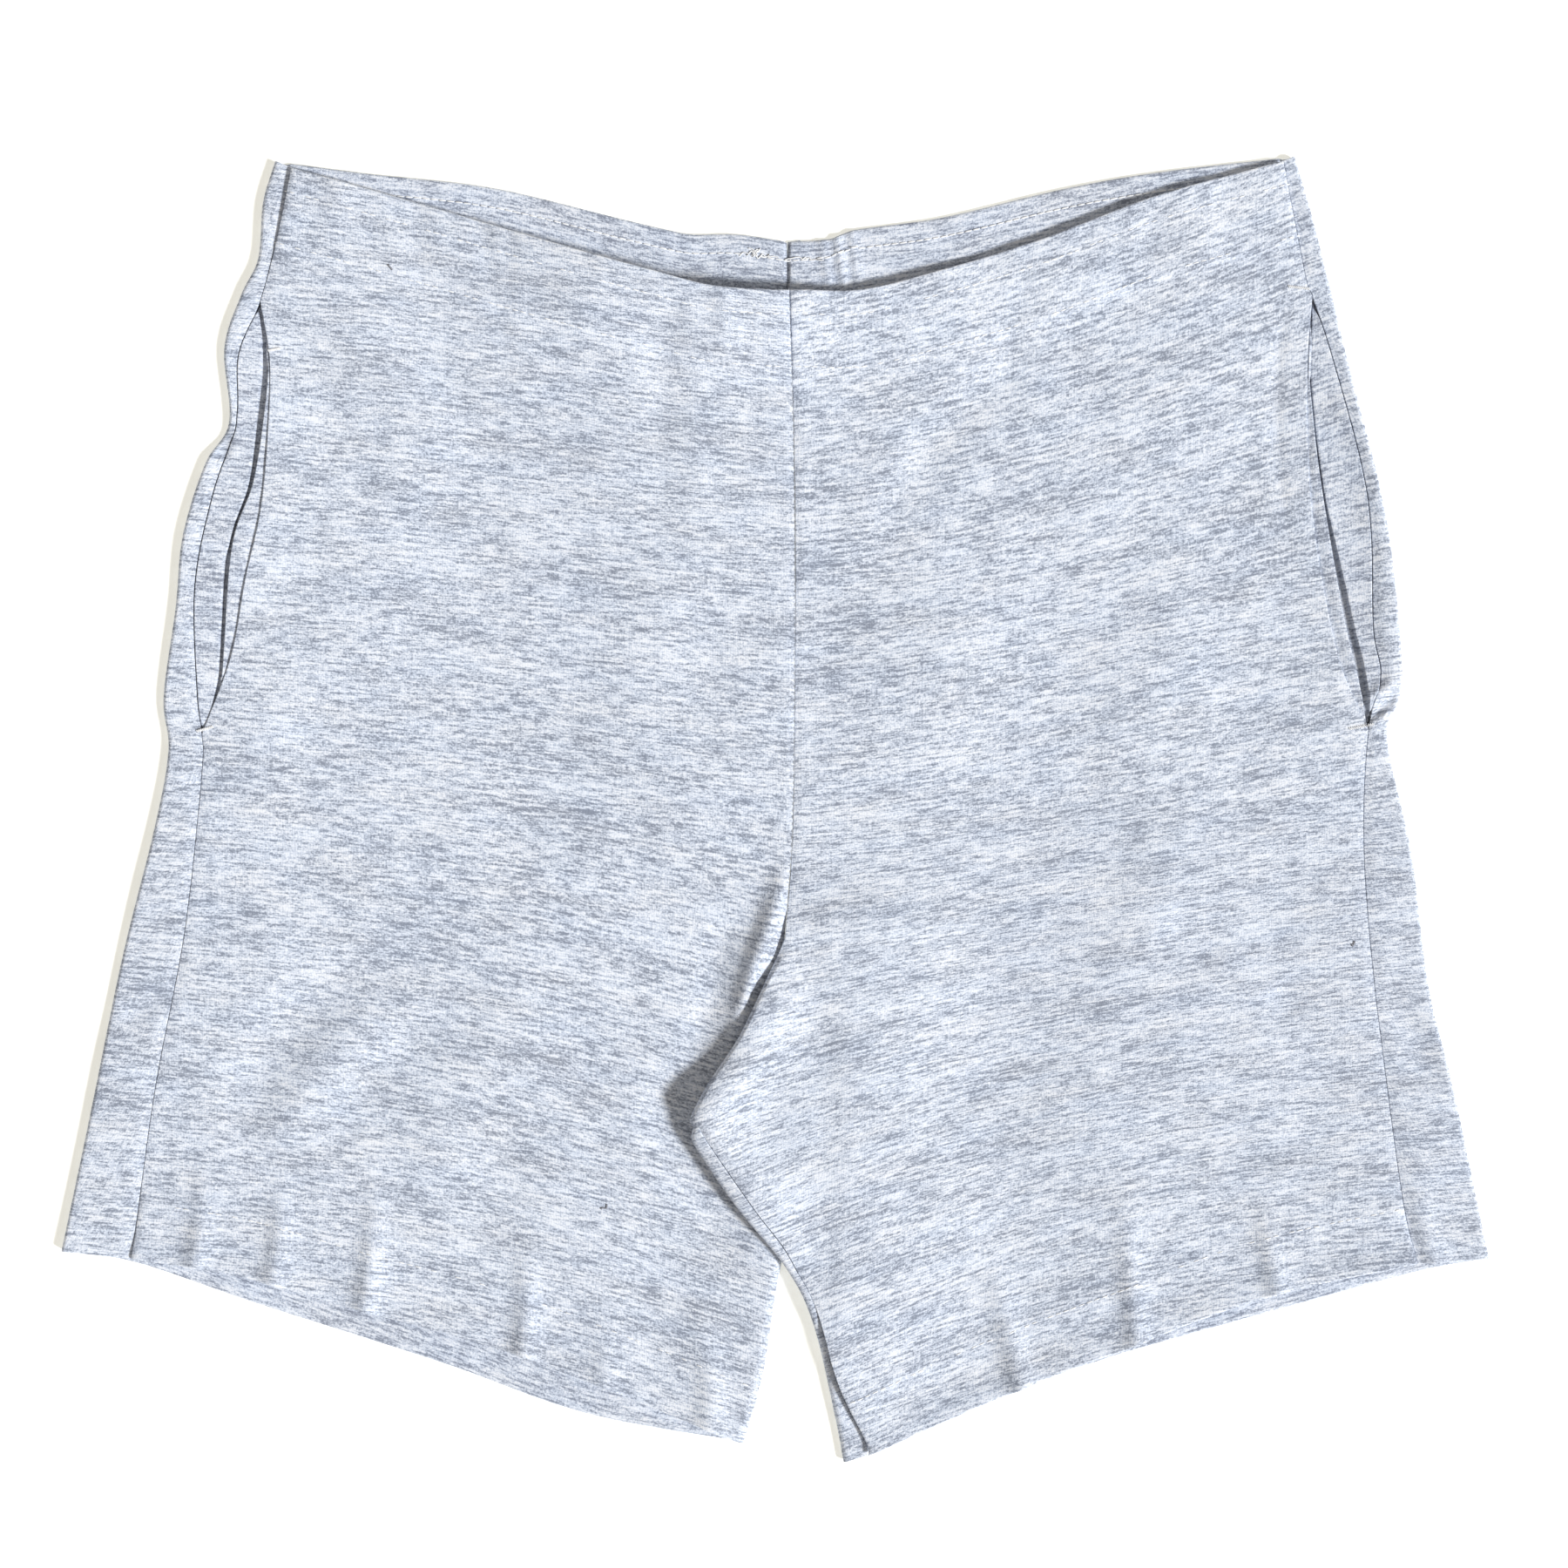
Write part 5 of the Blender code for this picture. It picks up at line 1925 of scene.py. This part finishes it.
@dataclass(frozen=True)
class Studio:
    """A pale floor, soft light from below on the right, and a camera straight above."""

    view_width: float = 0.6444
    aim: Pair = (0.0036, 0.0104)
    lens: float = 85.0
    sensor: float = 36.0
    floor_size: float = 6.0
    floor_drop: float = 0.0002
    floor_paint: Colour = (0.93, 0.93, 0.93)
    floor_roughness: float = 0.8
    floor_glow: float = 0.42
    floor_tint: Colour = (1.0, 0.98, 0.84)
    sky: float = 0.36
    sky_tint: Colour = (1.05, 1.0, 0.94)
    key: KeyLight = KeyLight("key_light", (2.90, -1.48, 3.00), 0.19, 3.80)

    def build(self, top: float) -> None:
        """Make the floor, the light, the sky and the camera.

        Args:
            top: The height of the face that the camera frames.
        """
        self.build_floor()
        self.key.build()
        self.build_sky()
        camera = bpy.data.cameras.new("camera")
        camera.lens = self.lens
        camera.sensor_width = self.sensor
        camera.clip_start = 0.01
        made = linked("camera", camera)
        made.location = (*self.aim, top + self.view_width * self.lens / self.sensor)
        bpy.context.scene.camera = made

    def build_floor(self) -> None:
        """Make the floor, which glows a little so that it stays pale."""
        half = self.floor_size / 2
        mesh = bpy.data.meshes.new("floor")
        corners = [(-half, -half, 0), (half, -half, 0), (half, half, 0), (-half, half, 0)]
        mesh.from_pydata(corners, [], [(0, 1, 2, 3)])
        paint, sketch, shader = new_material("floor_paint")
        sketch.fill(shader, {
            "Base Color": (*self.floor_paint, 1.0), "Roughness": self.floor_roughness,
            "Emission Color": (*self.floor_tint, 1.0), "Emission Strength": self.floor_glow})
        mesh.materials.append(paint)
        floor = linked("floor", mesh)
        floor.location.z = -self.floor_drop

    def build_sky(self) -> None:
        """Light the garment softly from all round."""
        world = bpy.data.worlds.new("studio_sky")
        world.use_nodes = True
        background = world.node_tree.nodes["Background"]
        Sketch(world.node_tree).fill(background, {"Color": (*self.sky_tint, 1.0), "Strength": self.sky})
        bpy.context.scene.world = world
        bpy.context.scene.view_settings.view_transform = "Standard"


# ---- creases of this garment

CREASES_LEFT = [
    # the cloth sinks where the right leg folds over it
    Crease([(-26, -98), (-38, -113), (-46, -128), (-36, -150), (-10, -185)], -2.4, 9, 0.2, 0.2),
    # a fold beside the crotch stands up out of a hollow, level with the right leg
    Crease([(-16, -40), (-24, -60), (-28, -84), (-37, -106)], -1.8, 6, 0.3, 0.2),
    Crease([(6, -16), (2, -34), (-3, -50), (-8, -64), (-12, -80), (-18, -97)], 5.9, 4.9, 0.45, 0.25),
    Crease([(-3, -62), (-6, -69), (-9, -76), (-14, -89)], -3.2, 1.6, 0.6, 0.3),
    # the pocket's side is pinched in
    Crease([(-232, 166), (-227, 156), (-229, 142)], -2.2, 3.2, 0.2, 0.2),
    # the front dips gently between the side and the centre seam
    Crease([(-128, 185), (-120, 90), (-116, -30)], -2.0, 46),
    # drag lines from the waist towards the crotch
    Crease([(-160, 205), (-132, 170), (-107, 130)], -1.4, 9),
    Crease([(-52, 214), (-47, 190), (-46, 150)], -1.0, 8),
    Crease([(-34, 170), (-33, 150), (-30, 120)], 1.0, 9),
    Crease([(-40, 216), (-42, 200), (-42, 180)], -0.9, 7, 0.2, 0.4),
    Crease([(-19, 221), (-21, 200), (-22, 178)], 0.9, 7, 0.2, 0.4),
    # folds that arch over the left leg
    Crease([(-227, -140), (-200, -90), (-165, -66), (-128, -60)], -1.5, 11),
    Crease([(-216, -152), (-186, -106), (-150, -82)], 1.0, 10),
    Crease([(-188, -150), (-160, -105), (-125, -85)], -1.1, 9),
    Crease([(-235, 14), (-243, 4)], -1.0, 5),
    Crease([(-270, -88), (-255, -79), (-248, -75)], -1.2, 5),
    # ripples up from the hem
    Crease([(-239, -191), (-236, -170), (-236, -140)], 2.3, 4.4, 0.0, 0.9),
    Crease([(-207, -198), (-204, -176), (-202, -140)], 2.5, 4.4, 0.0, 0.9),
    Crease([(-169, -210), (-166, -186), (-163, -140)], 3.0, 4.8, 0.0, 0.9),
    Crease([(-104, -229), (-102, -204), (-103, -165)], 3.1, 4.8, 0.0, 0.9),
    Crease([(-70, -242), (-70, -225), (-72, -200)], 1.6, 5.5, 0.0, 0.9),
    Crease([(-27, -258), (-27, -232), (-36, -190)], 2.4, 5.5, 0.0, 0.9),
]

# Shallow creases pressed into the backs, which lie on the surface
CREASES_BACK_LEFT = [
    Crease([(-40, 150), (-62, 90), (-70, 30)], 1.1, 7),
    Crease([(-110, 170), (-104, 110), (-96, 60)], 0.8, 6),
    Crease([(-14, 10), (-40, -30), (-90, -60)], 1.4, 8),
    Crease([(-26, -40), (-60, -80), (-110, -100)], 1.0, 7),
    Crease([(-120, -195), (-122, -165), (-128, -120)], 1.0, 6),
]
CREASES_BACK_RIGHT = [
    Crease([(44, 150), (62, 100), (66, 30)], 1.0, 7),
    Crease([(112, 165), (104, 110), (100, 50)], 0.9, 6),
    Crease([(22, 15), (52, -20), (98, -52)], 1.3, 8),
    Crease([(60, -60), (100, -92), (130, -108)], 1.0, 7),
    Crease([(150, -190), (146, -160), (138, -120)], 1.0, 6),
]

# Small pleats in the right casing, beside the centre seam
CASING_PLEATS = [
    Crease([(19, 238), (21, 224), (24, 208)], 1.1, 1.6, 0.0, 0.0),
    Crease([(25, 240), (27, 225), (30, 208)], 1.8, 1.6, 0.0, 0.0),
    Crease([(31, 243), (33, 226), (36, 208)], 1.3, 1.8, 0.0, 0.0),
]

CREASES_RIGHT = [
    # the leg stands proud along its fold over the left one
    Crease([(7, -58), (-2, -80), (-9, -96), (-20, -113), (-28, -124)], 4.9, 13, 0.35, 0.0),
    Crease([(-28, -124), (-20, -143), (-4, -166), (12, -190)], 4.9, 13, 0.0, 0.6),
    # the edge of the cloth turned in at the pocket mouth shows through
    Crease([(210, 209), (207, 189), (206, 161), (208, 132), (215, 82)], -0.8, 2.2, 0.1, 0.6),
    # the side swells beside the pocket
    Crease([(232, 190), (246, 140), (252, 100), (254, 60), (250, 30)], 2.2, 9),
    # the end of the pocket is bunched up
    Crease([(257, 53), (249, 49), (240, 43)], 2.4, 2.4),
    Crease([(256, 47), (250, 42), (246, 36)], -1.6, 2.0),
    Crease([(253, 41), (248, 37), (244, 33)], 1.8, 1.6),
    # drag lines from the waist towards the crotch
    Crease([(110, 196), (75, 160), (38, 112)], -1.4, 10),
    Crease([(60, 160), (42, 130), (30, 90)], 0.9, 10),
    Crease([(120, 60), (95, -10), (82, -80), (84, -150)], -2.2, 48),
    # short creases in the leg
    Crease([(157, -47), (185, -64)], -1.3, 9),
    Crease([(204, -72), (215, -86)], -1.3, 8),
    Crease([(154, -122), (185, -138), (212, -148)], -1.4, 7),
    Crease([(246, -68), (262, -92), (274, -115)], -1.5, 6),
    # ripples up from the hem
    Crease([(102, -240), (96, -215), (88, -175)], 3.1, 5.2, 0.0, 0.9),
    Crease([(149, -222), (146, -190), (143, -150)], 3.2, 4.8, 0.0, 0.9),
    Crease([(207, -202), (203, -178), (199, -150)], 2.3, 4.4, 0.0, 0.9),
    Crease([(272, -188), (266, -168), (261, -140)], 2.0, 4.8, 0.0, 0.9),
]

# Threads that aren't rows of stitches
BAR_TACKS = [
    BarTack("bar_tack_upper_left", (-208.5, 188.5), (-203.5, 189.5)),
    BarTack("bar_tack_lower_left", (-238, 32), (-231, 34)),
    BarTack("bar_tack_upper_right", (211, 215), (220, 214)),
    BarTack("bar_tack_lower_right", (236, 33), (246, 35)),
]
LOOSE_THREADS = [
    LooseThread((-14, 229), (2, 227.5), 5),
    LooseThread((5, 227), (20, 226), 8, 0.0010, 7),
    LooseThread((-11, 230), (-5, 229), 12, 0.0022, 4),
]
LINT = [
    LooseThread((-158.5, 223), (-157, 222), 21, 0.0008, 2),
    LooseThread((-71, -164), (-69.5, -163), 22, 0.0008, 2),
    LooseThread((237, -55.5), (238, -54.5), 23, 0.0008, 2),
]


# ---- assembly

@dataclass
class Shorts:
    """The whole garment: panels, bands, pockets and stitching.

    The row sizes are the depths of the rows of stitches below the waist edge, above the hem edge,
    and inside the back of the waist.
    """

    outside: Material
    # inside is the darker jersey with painted shade, for the bands and the pocket bags
    inside: Material
    white: Material
    grey: Material
    waviness: float = 0.0007
    upper_row: float = 0.010
    lower_row: float = 0.0315
    hem_row: float = 0.0235
    casing_row: float = 0.0065
    casing_row_rise: float = 0.0002
    seam_row: float = 0.0002
    thread_rise: float = 0.0003
    loose_rise: float = 0.0004
    pieces: list[Piece] = field(default_factory=list)

    def __post_init__(self) -> None:
        """Cut every piece."""
        relief_left = Relief(Undulation(7, self.waviness), Gathers(WAIST_FRONT_LEFT, 5),
                             creases=CREASES_LEFT)
        relief_right = Relief(Undulation(19, self.waviness), Gathers(WAIST_FRONT_RIGHT, 9),
                              creases=CREASES_RIGHT)
        corner = CROTCH_FOLD[-1]
        right_leg = (CROTCH_FOLD, INNER_LEG_RIGHT)
        self.front_left = FrontPanel(
            LEFT_SIDE, PanelRows(LEFT_SIDE, CENTRE_FRONT, (INNER_LEG_LEFT,)), WAIST_FRONT_LEFT[::-1],
            HEM_FRONT_LEFT[::-1], relief_left, COURSES_LEFT)
        self.front_right = FrontOverLeg(
            RIGHT_SIDE, PanelRows(RIGHT_SIDE, CENTRE_FRONT, right_leg, corner), WAIST_FRONT_RIGHT,
            HEM_FRONT_RIGHT, relief_right, COURSES_RIGHT)
        self.back_left = BackPanel(
            LEFT_SIDE, PanelRows(LEFT_SIDE, CENTRE_BACK, (INNER_LEG_LEFT,)), WAIST_BACK_LEFT[::-1],
            HEM_BACK_LEFT[::-1], relief_left, COURSES_LEFT, CREASES_BACK_LEFT)
        self.back_right = BackOverLeg(
            RIGHT_SIDE, PanelRows(RIGHT_SIDE, CENTRE_BACK, right_leg, corner), WAIST_BACK_RIGHT,
            HEM_BACK_RIGHT, relief_right, COURSES_RIGHT, CREASES_BACK_RIGHT)
        gap = CLOTH.gap
        self.bands = [
            TurnedBand("casing_left", WAIST_BACK_LEFT, CLOTH.casing_depth, (0.005, gap / 2), (8, 0)),
            TurnedBand("casing_right", WAIST_BACK_RIGHT, CLOTH.casing_depth, (gap / 2, 0.005), (0, -10),
                       CASING_PLEATS),
            TurnedBand("hem_left", HEM_BACK_LEFT, CLOTH.hem_depth, (0.005, 0.006), (190, 192)),
            TurnedBand("hem_right", HEM_BACK_RIGHT, CLOTH.hem_depth, (0.008, 0.005), (166, 170)),
        ]
        self.pockets = [Pocket(LEFT_SIDE, COURSES_LEFT, relief_left, POCKET_GAPE_LEFT),
                        Pocket(RIGHT_SIDE, COURSES_RIGHT, relief_right, POCKET_GAPE_RIGHT,
                               facing_drop=0.0001, facing_run=0.0009)]

    def keep(self, piece: Piece, slot: str, *nodes: str) -> Piece:
        """Fasten a finished piece to the frame.

        Args:
            piece: The piece.
            slot: The record's material slot of the piece. Not used.
            nodes: The CAD nodes that it stands for.

        Returns:
            The piece.
        """
        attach(piece, "root")
        if nodes:
            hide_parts(*nodes)
        self.pieces.append(piece)
        LOG.info("%s: %d faces", piece.name, len(piece.data.polygons))
        return piece

    def build_cloth(self) -> None:
        """Make every piece of cloth."""
        for panel in (self.back_left, self.back_right):
            made = self.keep(panel.build(self.outside), "jersey", panel.name)
        for band in self.bands:
            made = self.keep(band.build(self.inside), "jersey_inside", band.name)
            f"back_{band.name.split('_')[1]}_cloth"
        for pocket in self.pockets:
            word = pocket.side.hand.word
            back = self.keep(pocket.build_back(self.inside), "jersey_inside", f"pocket_back_{word}")
            front = self.keep(pocket.build_front(self.inside), "jersey_inside", f"pocket_front_{word}")
        for panel in (self.front_left, self.front_right):
            word = panel.side.hand.word
            made = self.keep(panel.build(self.outside), "jersey", panel.name)

    def build_stitches(self) -> None:
        """Sew the rows round the waist and the hems."""
        tree = stitch_tree()
        runs = []
        for panel in (self.front_left, self.front_right):
            word = panel.side.hand.word
            seed = 3 + panel.side.hand.value
            runs.append(StitchRun(f"waist_stitches_upper_{word}", panel.line_across(self.upper_row),
                                  self.white, missing=0.35, seed=seed))
            runs.append(StitchRun(f"waist_stitches_lower_{word}", panel.line_across(self.lower_row),
                                  self.white, missing=0.35, seed=seed + 10))
            runs.append(StitchRun(f"hem_stitches_{word}", panel.line_above_hem(self.hem_row),
                                  self.white, missing=0.5, seed=seed + 20))
        for band in self.bands[:2]:
            line = band.line_inside(self.casing_row) + (0, 0, self.casing_row_rise)
            runs.append(StitchRun(f"{band.name}_stitches", line, self.white, length=0.0034,
                                  thickness=0.0007, missing=0.04, seed=31))
        centre_line = self.front_left.line_beside_centre(self.seam_row)
        runs.append(StitchRun("centre_stitches", centre_line, self.grey, length=0.0016, pitch=0.0028,
                              thickness=0.0003, seed=41))
        for run in runs:
            self.keep(run.build(tree), "thread")

    def build_threads(self) -> None:
        """Sew the bar tacks at the ends of the pockets, and leave the loose thread ends and lint."""
        panels = (self.front_left, self.front_right, self.back_left, self.back_right)
        on_panels = height_on([panel.wall for panel in panels], self.thread_rise)
        on_casings = height_on([band.wall for band in self.bands[:2]], self.loose_rise)
        threads = [Thread(tack.name, tack.line(on_panels), self.white, thickness=0.0003)
                   for tack in BAR_TACKS]
        for number, loose in enumerate(LOOSE_THREADS, 1):
            threads.append(Thread(f"loose_thread_{number}", loose.line(on_casings), self.white))
        for number, speck in enumerate(LINT, 1):
            threads.append(Thread(f"lint_{number}", speck.line(on_panels), self.grey, thickness=0.0007))
        for thread in threads:
            self.keep(thread.build(), "thread")


def main() -> None:
    """Load the frame, make the garment round it, and set up the studio."""
    logging.basicConfig(level=logging.INFO, format="%(name)s %(message)s")
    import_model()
    Studio().build(top=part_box("front_left")[1].z)
    heather, knit = heather_group(), Knit().group()
    shorts = Shorts(OUTSIDE.material(heather, knit), SHADED_INSIDE.material(heather, knit),
                    WHITE_THREAD.material(), GREY_THREAD.material())
    shorts.build_cloth()
    shorts.build_stitches()
    shorts.build_threads()


if __name__ == "__main__":
    main()
